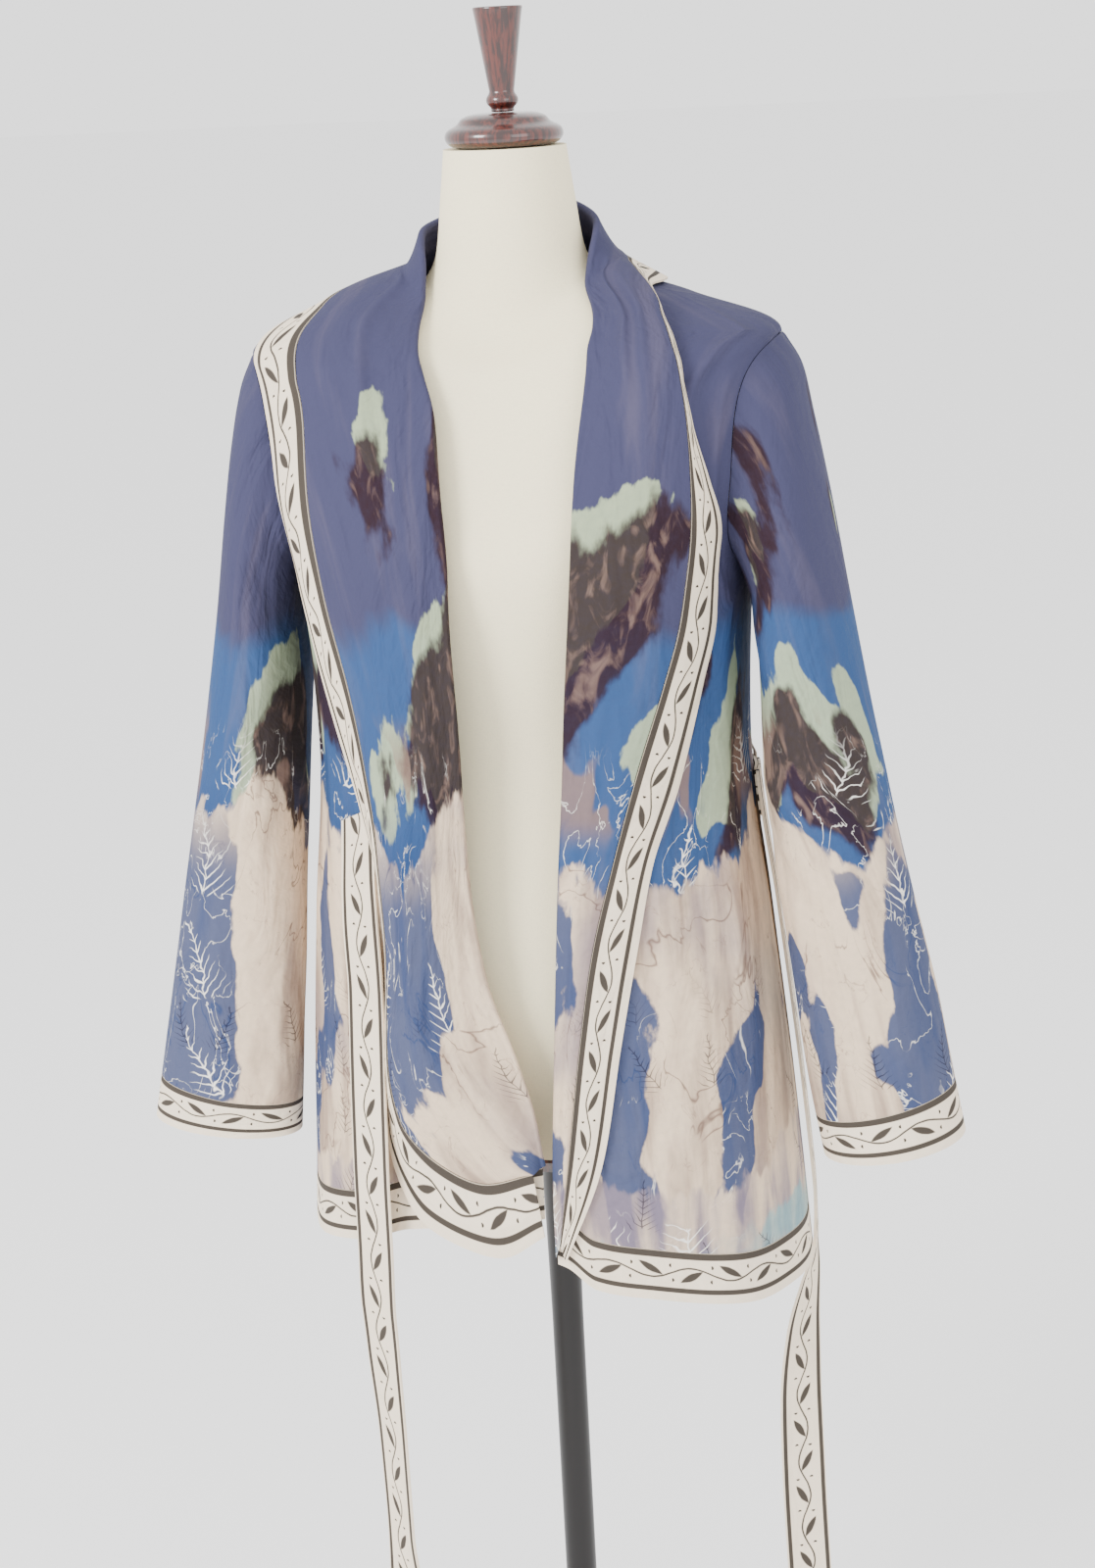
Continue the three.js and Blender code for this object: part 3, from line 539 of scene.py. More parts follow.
@dataclass
class Sheet:
    """One cut piece of cloth, as a wall between two faces.

    place(u, w, depth) gives points depth millimetres under the outer face, for
    shares u down the piece and w across it. A tube is closed across.
    """

    node: str
    place: Place
    rows: int
    columns: int
    thick: float = CLOTH
    tube: bool = False
    band: float | None = None

    def mesh(self) -> bpy.types.Mesh:
        """Makes the piece's mesh from a grid.

        Returns:
            A closed mesh with its cloth coordinates in the UV map "cloth".
        """
        bm = bmesh.new()
        layer = bm.loops.layers.uv.new("cloth")
        bmesh.ops.create_grid(bm, x_segments=self.columns, y_segments=self.rows, size=1.0)
        grid = np.array([v.co[:2] for v in bm.verts])
        u = (1 - grid[:, 1]) / 2
        w = (1 + grid[:, 0]) / 2
        outer = self.place(u, w, 0.0) * MM
        inner = self.place(u, w, self.thick) * MM
        flat = self.flat(u, w)
        for face in bm.faces:
            for loop in face.loops:
                loop[layer].uv = flat[loop.vert.index]
        for vert, co in zip(bm.verts, outer):
            vert.co = co
        bm.normal_update()
        wall = outer - inner
        out = sum(f.normal.dot(Vector(wall[f.verts[0].index])) for f in bm.faces)
        if out < 0:
            bmesh.ops.reverse_faces(bm, faces=bm.faces[:])
        under = self.underside(bm, inner)
        self.rim(bm, layer, under)
        if self.tube:
            bmesh.ops.remove_doubles(bm, verts=bm.verts[:], dist=1e-6)
        mesh = bpy.data.meshes.new(self.node)
        bm.to_mesh(mesh)
        bm.free()
        return mesh

    def flat(self, u: np.ndarray, w: np.ndarray) -> np.ndarray:
        """Lays the piece out flat.

        Args:
            u: Each vertex's share down.
            w: Each vertex's share across.

        Returns:
            Each vertex's metres across and along the cloth. A band's across runs
            over its own width from its first edge.
        """
        us, ws = np.linspace(0, 1, 41), np.linspace(0, 1, 41)
        points = self.place(*np.meshgrid(us, ws, indexing="ij"), 0.0)
        down = np.linalg.norm(np.diff(points, axis=0), axis=-1).mean(axis=1)
        length = np.concatenate([[0], np.cumsum(down)])
        steps = np.linalg.norm(np.diff(points, axis=1), axis=-1)
        width = np.concatenate([np.zeros((len(us), 1)), np.cumsum(steps, axis=1)], axis=1)
        width = width - width[:, 20:21]
        at = u * 40
        i = np.clip(at.astype(int), 0, 39)
        rows = [np.interp(w, ws, row) for row in width]
        stack = np.stack(rows)
        index = np.arange(len(u))
        across = lerp(stack[i, index], stack[i + 1, index], at - i)
        if self.band is not None:
            across = w * self.band
        return np.stack([across * MM, np.interp(u, us, length) * MM], axis=-1)

    @staticmethod
    def underside(bm: bmesh.types.BMesh, inner: np.ndarray) -> dict:
        """Copies the outer face to the inner one, turned over.

        Args:
            bm: The mesh with the outer face.
            inner: The inner points in metres, in the vertices' order.

        Returns:
            The inner vertex of each outer one.
        """
        outer = bm.verts[:]
        made = bmesh.ops.duplicate(bm, geom=outer + bm.edges[:] + bm.faces[:])
        under = {vert: made["vert_map"][vert] for vert in outer}
        for vert, co in zip(outer, inner):
            under[vert].co = co
        bmesh.ops.reverse_faces(bm, faces=[f for f in made["geom"] if isinstance(f, bmesh.types.BMFace)])
        return under

    @staticmethod
    def rim(bm: bmesh.types.BMesh, layer: bmesh.types.BMLayerItem, under: dict) -> None:
        """Closes the wall along its free edges, with sharp corners.

        Args:
            bm: The mesh with both faces.
            layer: The UV layer.
            under: The inner vertex of each outer one.
        """
        for edge in [e for e in bm.edges if e.is_boundary and e.verts[0] in under]:
            loop = edge.link_loops[0]
            first, second = loop.vert, loop.link_loop_next.vert
            uv = {first: loop[layer].uv.copy(), second: loop.link_loop_next[layer].uv.copy()}
            uv |= {under[first]: uv[first], under[second]: uv[second]}
            face = bm.faces.new([second, first, under[first], under[second]])
            for corner in face.loops:
                corner[layer].uv = uv[corner.vert]
            edge.smooth = False
            inner_edge = bm.edges.get([under[first], under[second]])
            inner_edge.smooth = False


def trace(rows: dict[str, np.ndarray], side: Side) -> Callable:
    """Follows a collar line.

    Args:
        rows: The line's table, for the wearer's left.
        side: The side it is wanted on.

    Returns:
        A function from shares of the line's length to turn and drop.
    """
    turn, drop = along(rows, "turn"), along(rows, "drop")
    if side is Side.LEFT:
        return lambda q: (turn(q), drop(q))
    return lambda q: (360 - turn(q), drop(q))


def shifted(turn, drop, mm):
    """Moves places along the turn.

    Args:
        turn: Degrees round the body.
        drop: Millimetres down.
        mm: Millimetres to move by.

    Returns:
        The new turns.
    """
    return turn + mm / per_degree(turn, drop)


def armhole(angle: np.ndarray, sense: int) -> tuple[np.ndarray, np.ndarray]:
    """Follows the wearer's left armhole.

    Args:
        angle: Degrees round it, 0 at the shoulder tip and 180 at the armpit.
        sense: -1 for its front and 1 for its back.

    Returns:
        Turn and drop.
    """
    s, c = np.sin(np.radians(angle)), np.cos(np.radians(angle))
    middle = (ARMHOLE_TOP + ARMHOLE_BOTTOM) / 2
    half = (ARMHOLE_BOTTOM - ARMHOLE_TOP) / 2
    turn = 90 + sense * ARMHOLE_HALF_TURN * np.abs(s) ** ARMHOLE_POWER
    return turn, middle - half * np.sign(c) * np.abs(c) ** ARMHOLE_POWER


def outline(steps: np.ndarray, side: Side, sense: int) -> tuple[np.ndarray, np.ndarray]:
    """Follows a panel's outer edge: shoulder seam, armhole, then side seam.

    Args:
        steps: Places along it, from 0 to PANEL_STEPS.
        side: The wearer's side.
        sense: -1 for a front panel and 1 for the back.

    Returns:
        Turn and drop.
    """
    angle = np.clip((steps - SHOULDER_STEPS) / ARMHOLE_STEPS, 0, 1) * 180
    turn, drop = armhole(angle, sense)
    shoulder = steps < SHOULDER_STEPS
    drop = np.where(shoulder, np.maximum(ARMHOLE_TOP * steps / SHOULDER_STEPS, SEAM), drop)
    low = np.clip((steps - SHOULDER_STEPS - ARMHOLE_STEPS) / SIDE_STEPS, 0, 1)
    end = HEM(90.0 if side is Side.LEFT else 270.0) - BORDER
    drop = np.where(low > 0, lerp(ARMHOLE_BOTTOM, end, low), drop)
    turn = np.where(shoulder | (low > 0), 90.0, turn)
    return (turn if side is Side.LEFT else 360 - turn), drop


def roll_rows(side: Side) -> dict[str, np.ndarray]:
    """Picks the roll line's table.

    Args:
        side: The wearer's side.

    Returns:
        The table.
    """
    return ROLL_LEFT if side is Side.LEFT else ROLL_RIGHT


def neck_share(side: Side) -> float:
    """Finds the neck seam on the roll line.

    Args:
        side: The wearer's side.

    Returns:
        Its share of the line's rows.
    """
    return NECK_ROW / (len(roll_rows(side)["turn"]) - 1)


def collar_share(u: np.ndarray, side: Side) -> np.ndarray:
    """Spreads a collar's rows so that they meet the front panel's.

    Args:
        u: Shares of the collar's rows.
        side: The wearer's side.

    Returns:
        Shares of the roll line.
    """
    neck = neck_share(side)
    middle = STAND_STEPS / (STAND_STEPS + PANEL_STEPS)
    return np.interp(u, [0, middle, 1], [BACK_GAP, neck, 1])


def roll_turn(drop: np.ndarray, side: Side) -> np.ndarray:
    """Gives the roll line's turn at a drop, below the neck seam.

    Args:
        drop: Millimetres down.
        side: The wearer's side.

    Returns:
        Degrees.
    """
    rows = roll_rows(side)
    turn = Curve(rows["drop"][NECK_ROW:], rows["turn"][NECK_ROW:])(drop)
    return turn if side is Side.LEFT else 360 - turn


def ruled(edges: Callable, folds: tuple[Fold, ...], size: tuple[float, float]) -> Place:
    """Makes the place function of a panel between two edges.

    Args:
        edges: From steps 0 to PANEL_STEPS, each edge's turns and drops.
        folds: The panel's folds.
        size: Its length and width in millimetres.

    Returns:
        The place function, which cuts the panel level with the hem's strip.
    """
    (last_a, low_a), (last_b, low_b) = edges(np.array([float(PANEL_STEPS)]))
    inset = np.sign(last_b[0] - last_a[0]) * SEAM / 2

    def place(u, w, depth):
        """Places points of the piece, at a depth in its wall."""
        (turn_a, drop_a), (turn_b, drop_b) = edges(u * PANEL_STEPS)
        turn_a = shifted(turn_a, drop_a, inset)
        turn_b = shifted(turn_b, drop_b, -inset)
        end = (HEM(lerp(last_a, last_b, w)) - BORDER) / lerp(low_a, low_b, w) - 1
        drop = lerp(drop_a, drop_b, w) * (1 + end * u**3)
        return SHELL.off(lerp(turn_a, turn_b, w), drop, folded(folds, u, w, size) - depth)

    return place


def back_place(folds: tuple[Fold, ...]) -> Place:
    """Makes the back panel.

    Args:
        folds: Its folds.

    Returns:
        Its place function.
    """

    def edges(steps):
        """Gives both edges of the rows, as turns and drops."""
        return outline(steps, Side.LEFT, 1), outline(steps, Side.RIGHT, 1)

    return ruled(edges, folds, (800, 560))


def front_place(side: Side, folds: tuple[Fold, ...]) -> Place:
    """Makes a front panel, from its roll line to the side seam.

    Args:
        side: The wearer's side.
        folds: Its folds.

    Returns:
        Its place function.
    """
    neck = neck_share(side)
    roll = trace(roll_rows(side), side)
    end_turn, end_drop = roll(1.0)
    spare = (HEM(end_turn) - BORDER) / end_drop - 1

    def edges(steps):
        """Gives both edges of the rows, as turns and drops."""
        _, drop = roll(lerp(neck, 1, steps / PANEL_STEPS))
        drop = np.maximum(SEAM, drop * (1 + spare * (steps / PANEL_STEPS) ** 3))
        turn = shifted(roll_turn(drop, side), drop, side.value * ROLL_GAP)
        return (turn, drop), outline(steps, side, -1)

    return ruled(edges, folds, (800, 240))


@dataclass
class Collar:
    """One half of the shawl collar, and the border strip on its free edge."""

    side: Side
    folds: tuple[Fold, ...]
    roll_share: float = 0.16

    def __post_init__(self) -> None:
        """Sets up the lines that the collar follows."""
        left = self.side is Side.LEFT
        self.roll = trace(roll_rows(self.side), self.side)
        self.seam = trace(SEAM_LEFT if left else SEAM_RIGHT, self.side)
        self.edge = trace(EDGE_LEFT if left else EDGE_RIGHT, self.side)
        rows = LIFT_LEFT if left else LIFT_RIGHT
        self.lift = Curve(rows["drop"], rows["height"])

    def out(self, share, drop):
        """Gives the collar's height off the panel.

        Args:
            share: The share of its whole width.
            drop: Millimetres down.

        Returns:
            Millimetres.
        """
        return COLLAR_OUT + self.lift(drop) * np.sin(np.pi * np.clip(share, 0, 1) ** 1.25)

    def fall(self, u, w, depth):
        """Places the collar itself, the roll round the fold first.

        Args:
            u: Shares along it.
            w: Shares across it.
            depth: Millimetres under its outer face.

        Returns:
            Points.
        """
        q = collar_share(u, self.side)
        s = np.interp(w, [0, self.roll_share, 1], [-1, 0, 1])
        (turn_a, drop_a), (turn_b, drop_b) = self.roll(q), self.seam(q)

        def between(share):
            """Gives the turn and drop between the roll and the seam."""
            return lerp(turn_a, turn_b, share), lerp(drop_a, drop_b, share)

        flat = np.clip(s, 0, 1) * 0.992
        turn, drop = between(flat)
        fold = folded(self.folds, u, np.clip(s, 0, 1), (900, 150)) * np.sin(np.pi * flat) ** 0.5
        out = self.out(flat * SEAM_SHARE, drop) + fold - depth
        lying = SHELL.off(turn, drop, out)
        crease = SHELL.at(turn_a, drop_a)
        away = unit(crease - SHELL.at(*between(0.04)))
        half = (COLLAR_OUT + CLOTH) / 2
        angle = -np.minimum(s, 0) * np.pi
        radius = half - depth
        rise = half - CLOTH + radius * np.cos(angle)
        rolled = crease + SHELL.normal(turn_a, drop_a) * rise[..., None]
        rolled = rolled + away * (radius * np.sin(angle))[..., None]
        return np.where((s >= 0)[..., None], lying, rolled)

    def border(self, u, w, depth):
        """Places the border strip.

        Args:
            u: Shares along it.
            w: Shares across it, from the seam.
            depth: Millimetres under its outer face.

        Returns:
            Points.
        """
        q = collar_share(u, self.side)
        (turn_a, drop_a), (turn_b, drop_b) = self.seam(q), self.edge(q)
        t = lerp(0.012, 1, w)
        drop = lerp(drop_a, drop_b, t)
        out = self.out(lerp(SEAM_SHARE, 1, t), drop)
        return SHELL.off(lerp(turn_a, turn_b, t), drop, out - depth)


def stand_place(u, w, depth):
    """Places the collar's stand, round the back of the neck.

    Args:
        u: Shares round it, from the wearer's left.
        w: Shares up it.
        depth: Millimetres under its outer face.

    Returns:
        Points.
    """
    left, right = trace(ROLL_LEFT, Side.LEFT), trace(ROLL_RIGHT, Side.RIGHT)
    s = u * 2 - 1
    turn_l, drop_l = left(lerp(BACK_GAP, neck_share(Side.LEFT), np.clip(-s, 0, 1)))
    turn_r, drop_r = right(lerp(BACK_GAP, neck_share(Side.RIGHT), np.clip(s, 0, 1)))
    turn = np.where(s <= 0, turn_l, turn_r)
    drop = np.where(s <= 0, drop_l, drop_r)
    return SHELL.off(turn, lerp(drop + SEAM, -SEAM, w), np.zeros_like(turn) - depth)


def hem_place(first, last, follow: tuple[Side | None, Side | None]) -> Place:
    """Makes a length of the hem's border.

    Args:
        first: The turn at its start.
        last: The turn at its end.
        follow: The front edge that each end follows, if it does.

    Returns:
        Its place function.
    """

    def place(u, w, depth):
        """Places points of the piece, at a depth in its wall."""
        turn = lerp(first, last, w)
        drop = HEM(turn) - (BORDER - SEAM) * (1 - u)
        for side, at, share in ((follow[0], first, 1 - 8 * w), (follow[1], last, 8 * w - 7)):
            if side is not None:
                turn = turn + (roll_turn(drop, side) - at) * np.clip(share, 0, 1)
        turn = shifted(turn, drop, (0.5 - w) * SEAM)
        return SHELL.off(turn, drop, np.zeros_like(turn) - depth)

    return place


@dataclass
class Sleeve:
    """One hanging sleeve and its cuff border."""

    side: Side
    folds: tuple[Fold, ...]

    def __post_init__(self) -> None:
        """Makes a curve down the sleeve for each column."""
        rows = SLEEVE_LEFT if self.side is Side.LEFT else SLEEVE_RIGHT
        self.curves = {name: along(rows, name) for name in rows}

    def tube(self, t, a):
        """Places the plain tube.

        Args:
            t: Shares from armhole to cuff.
            a: Radians round it, from its outer side over its front.

        Returns:
            Points on the wearer's left.
        """
        get = {name: curve(t) for name, curve in self.curves.items()}
        share = (1 - np.cos(a)) / 2
        x = lerp(get["out_x"], get["in_x"], share)
        y = get["mid_y"] - get["depth"] / 2 * np.sin(a)
        return np.stack([x, y, lerp(get["out_z"], get["in_z"], share)], axis=-1)

    def surface(self, t, angle):
        """Places the sleeve without its folds.

        Args:
            t: Shares from armhole to cuff.
            angle: Degrees round it.

        Returns:
            Points.
        """
        t, angle = np.broadcast_arrays(np.asarray(t, float), np.asarray(angle, float) % 360)
        a = np.radians(angle)
        front = angle <= 180
        turn_f, drop = armhole(np.where(front, angle, 360 - angle), -1)
        turn = np.where(front, turn_f, 180 - turn_f)
        there = SHELL.at(turn, drop) + np.array([SEAM, 0, 0])
        fade = np.clip(1 - t / LOOP_FADE, 0, 1)[..., None] ** 2
        points = self.tube(t, a)
        points = points + (there - self.tube(np.zeros_like(t), a)) * fade
        return points * np.array([self.side.value, 1, 1])

    def gathers(self, t, angle):
        """Gives the small gathers at the sleeve's cap.

        Args:
            t: Shares from armhole to cuff.
            angle: Degrees round it, from the cap's middle.

        Returns:
            Millimetres.
        """
        off = (angle + 180) % 360 - 180
        near = np.exp(-((off / 42) ** 2)) * np.exp(-t / 0.05) * np.clip(t / 0.012, 0, 1)
        return 1.5 * near * np.cos(np.radians(off * 22))

    def creases(self, t, angle):
        """Gives the sleeve's long soft creases.

        Args:
            t: Shares from armhole to cuff.
            angle: Degrees round it.

        Returns:
            Millimetres.
        """
        w = (angle % 360) / 360
        total = folded(self.folds, t, w, (620, 330))
        for turned_by in (-1.0, 1.0):
            total = total + folded(self.folds, t, w + turned_by, (620, 330))
        return total

    def part(self, first: float, last: float) -> Place:
        """Makes a stretch of the sleeve.

        Args:
            first: Its first share of the sleeve's length.
            last: Its last.

        Returns:
            Its place function.
        """

        def place(u, w, depth):
            """Places points of the piece, at a depth in its wall."""
            t, angle = lerp(first, last, u), w * 360
            around = self.surface(t, angle + 4) - self.surface(t, angle - 4)
            down = self.surface(np.minimum(1, t + 0.01), angle)
            down = down - self.surface(np.maximum(0, t - 0.01), angle)
            normal = unit(np.cross(around, down)) * self.side.value
            out = self.creases(t, angle) + self.gathers(t, angle) - depth
            return self.surface(t, angle) + normal * out[..., None]

        return place


def belt_end(rows: dict[str, np.ndarray], slant: float) -> Place:
    """Makes a hanging end of the belt.

    Args:
        rows: The middle of the strip, row by row.
        slant: Millimetres that the folded top drops from side to side.

    Returns:
        Its place function.
    """
    curves = [along(rows, name) for name in BELT_COLUMNS.split()]
    last_ring = SHELL_ROWS["drop"][-1]

    def place(u, w, depth):
        """Places points of the piece, at a depth in its wall."""
        turn, drop, out, face, hug = (curve(u) for curve in curves)
        s = w * 2 - 1
        a = np.radians(face)
        normal = np.stack([np.sin(a), -np.cos(a), 0 * a], axis=-1)
        across = np.stack([np.cos(a), np.sin(a), 0 * a], axis=-1)
        low = drop + slant * (1 - s) / 2 * np.clip(1 - u * 4, 0, 1)
        level = np.minimum(low, last_ring)
        proud = BELT_THICK / 2 - depth
        beside = shifted(turn, level, s * BELT_WIDTH / 2)
        free = SHELL.off(turn, level, out) + across * (s * BELT_WIDTH / 2)[..., None] + normal * proud
        points = lerp(free, SHELL.off(beside, level, out + proud), hug[..., None])
        points[..., 2] -= np.maximum(0, low - last_ring)
        return points

    return place


def belt_back(u, w, depth):
    """Places the belt round the back.

    Args:
        u: Shares down it.
        w: Shares along it, from the wearer's left.
        depth: Millimetres under its outer face.

    Returns:
        Points.
    """
    drop = BELT_DROP + (u - 0.5) * BELT_WIDTH
    return SHELL.off(lerp(*BELT_TURNS, w), drop, np.zeros_like(u) + BELT_OUT + BELT_THICK - depth)


def belt_loop(u, w, depth):
    """Places the narrow loop over the belt.

    Args:
        u: Shares down it.
        w: Shares across it.
        depth: Millimetres under its outer face.

    Returns:
        Points.
    """
    reach = np.abs(2 * u - 1)
    rise = np.clip((0.9 - reach) / 0.24, 0, 1)
    out = LOOP_THICK + LOOP_OUT + rise * (BELT_OUT + BELT_THICK)
    drop = BELT_DROP + (u - 0.5) * (BELT_WIDTH + 2 * LOOP_SPARE)
    turn = LOOP_TURN + (w - 0.5) * LOOP_WIDTH / per_degree(LOOP_TURN, BELT_DROP)
    return SHELL.off(turn, drop, out - depth)


class Field:
    """A value or colour that varies over a surface, with arithmetic on it."""

    def __init__(self, graph: "Graph", socket: bpy.types.NodeSocket) -> None:
        """Wraps a socket.

        Args:
            graph: The material it belongs to.
            socket: The node's output.
        """
        self.graph = graph
        self.socket = socket

    def maths(self, operation: str, *values: "Field | float") -> "Field":
        """Adds a maths node.

        Args:
            operation: Its operation.
            values: What it works on.

        Returns:
            Its result.
        """
        made = self.graph.node("ShaderNodeMath", dict(enumerate(values)), operation=operation)
        return Field(self.graph, made.outputs[0])

    def __add__(self, other: "Field | float") -> "Field":
        """Adds."""
        return self.maths("ADD", self, other)

    def __radd__(self, other: "Field | float") -> "Field":
        """Adds to a number."""
        return self.maths("ADD", other, self)

    def __sub__(self, other: "Field | float") -> "Field":
        """Subtracts."""
        return self.maths("SUBTRACT", self, other)

    def __rsub__(self, other: "Field | float") -> "Field":
        """Subtracts from a number."""
        return self.maths("SUBTRACT", other, self)

    def __mul__(self, other: "Field | float") -> "Field":
        """Multiplies."""
        return self.maths("MULTIPLY", self, other)

    def __rmul__(self, other: "Field | float") -> "Field":
        """Multiplies a number."""
        return self.maths("MULTIPLY", other, self)

    def __truediv__(self, other: "Field | float") -> "Field":
        """Divides."""
        return self.maths("DIVIDE", self, other)

    def __rtruediv__(self, other: "Field | float") -> "Field":
        """Divides a number."""
        return self.maths("DIVIDE", other, self)

    def __pow__(self, other: "Field | float") -> "Field":
        """Raises to a power."""
        return self.maths("POWER", self, other)

    def __rpow__(self, other: "Field | float") -> "Field":
        """Raises a number to this power."""
        return self.maths("POWER", other, self)

    def __neg__(self) -> "Field":
        """Gives the negative."""
        return self.maths("MULTIPLY", self, -1.0)

    def __abs__(self) -> "Field":
        """Gives the size without its sign."""
        return self.maths("ABSOLUTE", self)

    def sin(self) -> "Field":
        """Gives the sine."""
        return self.maths("SINE", self)

    def cos(self) -> "Field":
        """Gives the cosine."""
        return self.maths("COSINE", self)

    def floor(self) -> "Field":
        """Rounds down."""
        return self.maths("FLOOR", self)

    def fraction(self) -> "Field":
        """Gives what is left above the whole number."""
        return self.maths("FRACT", self)

    def sign(self) -> "Field":
        """Gives -1, 0 or 1."""
        return self.maths("SIGN", self)

    def larger(self, other: "Field | float") -> "Field":
        """Gives the larger of two values.

        Args:
            other: The other value.

        Returns:
            The larger.
        """
        return self.maths("MAXIMUM", self, other)

    def step(self, low: "Field | float", high: "Field | float") -> "Field":
        """Rises smoothly from 0 at low to 1 at high.

        Args:
            low: Where it starts.
            high: Where it ends.

        Returns:
            A mask.
        """
        inputs = {"Value": self, "From Min": low, "From Max": high}
        made = self.graph.node("ShaderNodeMapRange", inputs, interpolation_type="SMOOTHSTEP")
        return Field(self.graph, made.outputs["Result"])

    def within(self, half: "Field | float", soft: float) -> "Field":
        """Masks where the size of the value is under a limit.

        Args:
            half: The limit.
            soft: How far the edge is spread.

        Returns:
            A mask.
        """
        return 1.0 - (abs(self) - half).step(-soft, soft)


Colour = tuple[float, float, float]


def linear(red: int, green: int, blue: int) -> Colour:
    """Turns screen values to the renderer's.

    Args:
        red: From 0 to 255.
        green: From 0 to 255.
        blue: From 0 to 255.

    Returns:
        The linear colour.
    """
    return tuple(((v / 255 + 0.055) / 1.055) ** 2.4 for v in (red, green, blue))


class Graph:
    """A material's node tree."""

    def __init__(self, name: str) -> None:
        """Starts an empty tree.

        Args:
            name: The material's name.
        """
        self.material = bpy.data.materials.new(name)
        self.material.use_nodes = True
        self.tree = self.material.node_tree
        self.tree.nodes.clear()

    def node(self, kind: str, inputs: dict | None = None, **settings) -> bpy.types.Node:
        """Adds a node.

        Args:
            kind: Its type.
            inputs: Fields or values for its sockets, by name or number.
            settings: Its own properties.

        Returns:
            The node.
        """
        made = self.tree.nodes.new(kind)
        for name, value in settings.items():
            setattr(made, name, value)
        for name, value in (inputs or {}).items():
            socket = made.inputs[name]
            if isinstance(value, Field):
                self.tree.links.new(value.socket, socket)
            elif isinstance(value, tuple) and socket.type == "RGBA":
                socket.default_value = (*value, 1.0)
            else:
                socket.default_value = value
        return made

    def parts(self, vector: Field) -> tuple[Field, Field, Field]:
        """Splits a vector.

        Args:
            vector: The vector or colour.

        Returns:
            Its x, y and z.
        """
        made = self.node("ShaderNodeSeparateXYZ", {"Vector": vector})
        return tuple(Field(self, made.outputs[i]) for i in range(3))

    def joined(self, x, y, z=0.0) -> Field:
        """Makes a vector.

        Args:
            x: Its x.
            y: Its y.
            z: Its z.

        Returns:
            The vector.
        """
        made = self.node("ShaderNodeCombineXYZ", {"X": x, "Y": y, "Z": z})
        return Field(self, made.outputs["Vector"])

    def cloth(self) -> tuple[Field, Field]:
        """Reads the piece's cloth coordinates.

        Returns:
            Metres across and along the cloth.
        """
        made = self.node("ShaderNodeUVMap", uv_map="cloth")
        return self.parts(Field(self, made.outputs["UV"]))[:2]

    def place(self) -> tuple[Field, Field, Field]:
        """Reads the place in the object's own space.

        Returns:
            x, y and z in metres.
        """
        made = self.node("ShaderNodeTexCoord")
        return self.parts(Field(self, made.outputs["Object"]))

    def noise(self, vector: Field, scale: float, detail: float = 2.0, bend: float = 0.0) -> Field:
        """Adds soft noise.

        Args:
            vector: Where it is read.
            scale: Its cells a metre.
            detail: Its octaves.
            bend: Its distortion.

        Returns:
            Values round 0.5.
        """
        inputs = {"Vector": vector, "Scale": scale, "Detail": detail, "Distortion": bend}
        return Field(self, self.node("ShaderNodeTexNoise", inputs).outputs[0])

    def chance(self, x: Field, y: Field, seed: float) -> tuple[Field, Field, Field]:
        """Gives three steady chance values for a cell.

        Args:
            x: The cell's column.
            y: The cell's row.
            seed: What sets this layer apart.

        Returns:
            Values from 0 to 1.
        """
        made = self.node("ShaderNodeTexWhiteNoise", {"Vector": self.joined(x, y, seed)})
        return self.parts(Field(self, made.outputs["Color"]))

    def mix(self, share, under, over) -> Field:
        """Lays one colour over another.

        Args:
            share: How much of the upper one shows.
            under: The lower colour.
            over: The upper colour.

        Returns:
            The colour.
        """
        made = self.node("ShaderNodeMix", {0: share, 6: under, 7: over}, data_type="RGBA")
        return Field(self, made.outputs[2])

    def bump(self, height: Field, distance: float, strength: float = 1.0) -> Field:
        """Turns heights to normals.

        Args:
            height: Heights from 0 to 1.
            distance: The metres that 1 stands for.
            strength: How strongly it shows.

        Returns:
            Normals.
        """
        inputs = {"Height": height, "Distance": distance, "Strength": strength}
        return Field(self, self.node("ShaderNodeBump", inputs).outputs["Normal"])

    def close(self, colour, roughness, normal: Field | None = None, **uniform) -> bpy.types.Material:
        """Ends the tree in a Principled shader.

        Args:
            colour: The base colour.
            roughness: The roughness.
            normal: The normals, if they vary.
            uniform: Other sockets' values, with underscores for spaces.

        Returns:
            The material.
        """
        inputs = {"Base Color": colour, "Roughness": roughness}
        if normal is not None:
            inputs["Normal"] = normal
        for name, value in uniform.items():
            inputs[name.replace("_", " ").title().replace("Ior", "IOR")] = value
        shader = self.node("ShaderNodeBsdfPrincipled", inputs)
        surface = Field(self, shader.outputs["BSDF"])
        self.node("ShaderNodeOutputMaterial", {"Surface": surface})
        return self.material


def creasing(graph: Graph, across: Field, down: Field, seed: float) -> Field:
    """Makes the cloth's small soft creases, with its weave.

    Args:
        graph: The material.
        across: Metres across the cloth.
        down: Metres along it.
        seed: What sets this piece apart.

    Returns:
        Normals.
    """
    long = graph.noise(graph.joined(across * 3.0, down, seed), 9.0, 3.0, 0.6)
    short = graph.noise(graph.joined(across, down * 1.6, seed + 3.0), 46.0, 2.0, 0.3)
    weave = graph.noise(graph.joined(across, down * 2.2, seed + 7.0), 1400.0, 1.0)
    return graph.bump(long + short * 0.22 + weave * 0.02, 0.012, 0.7)


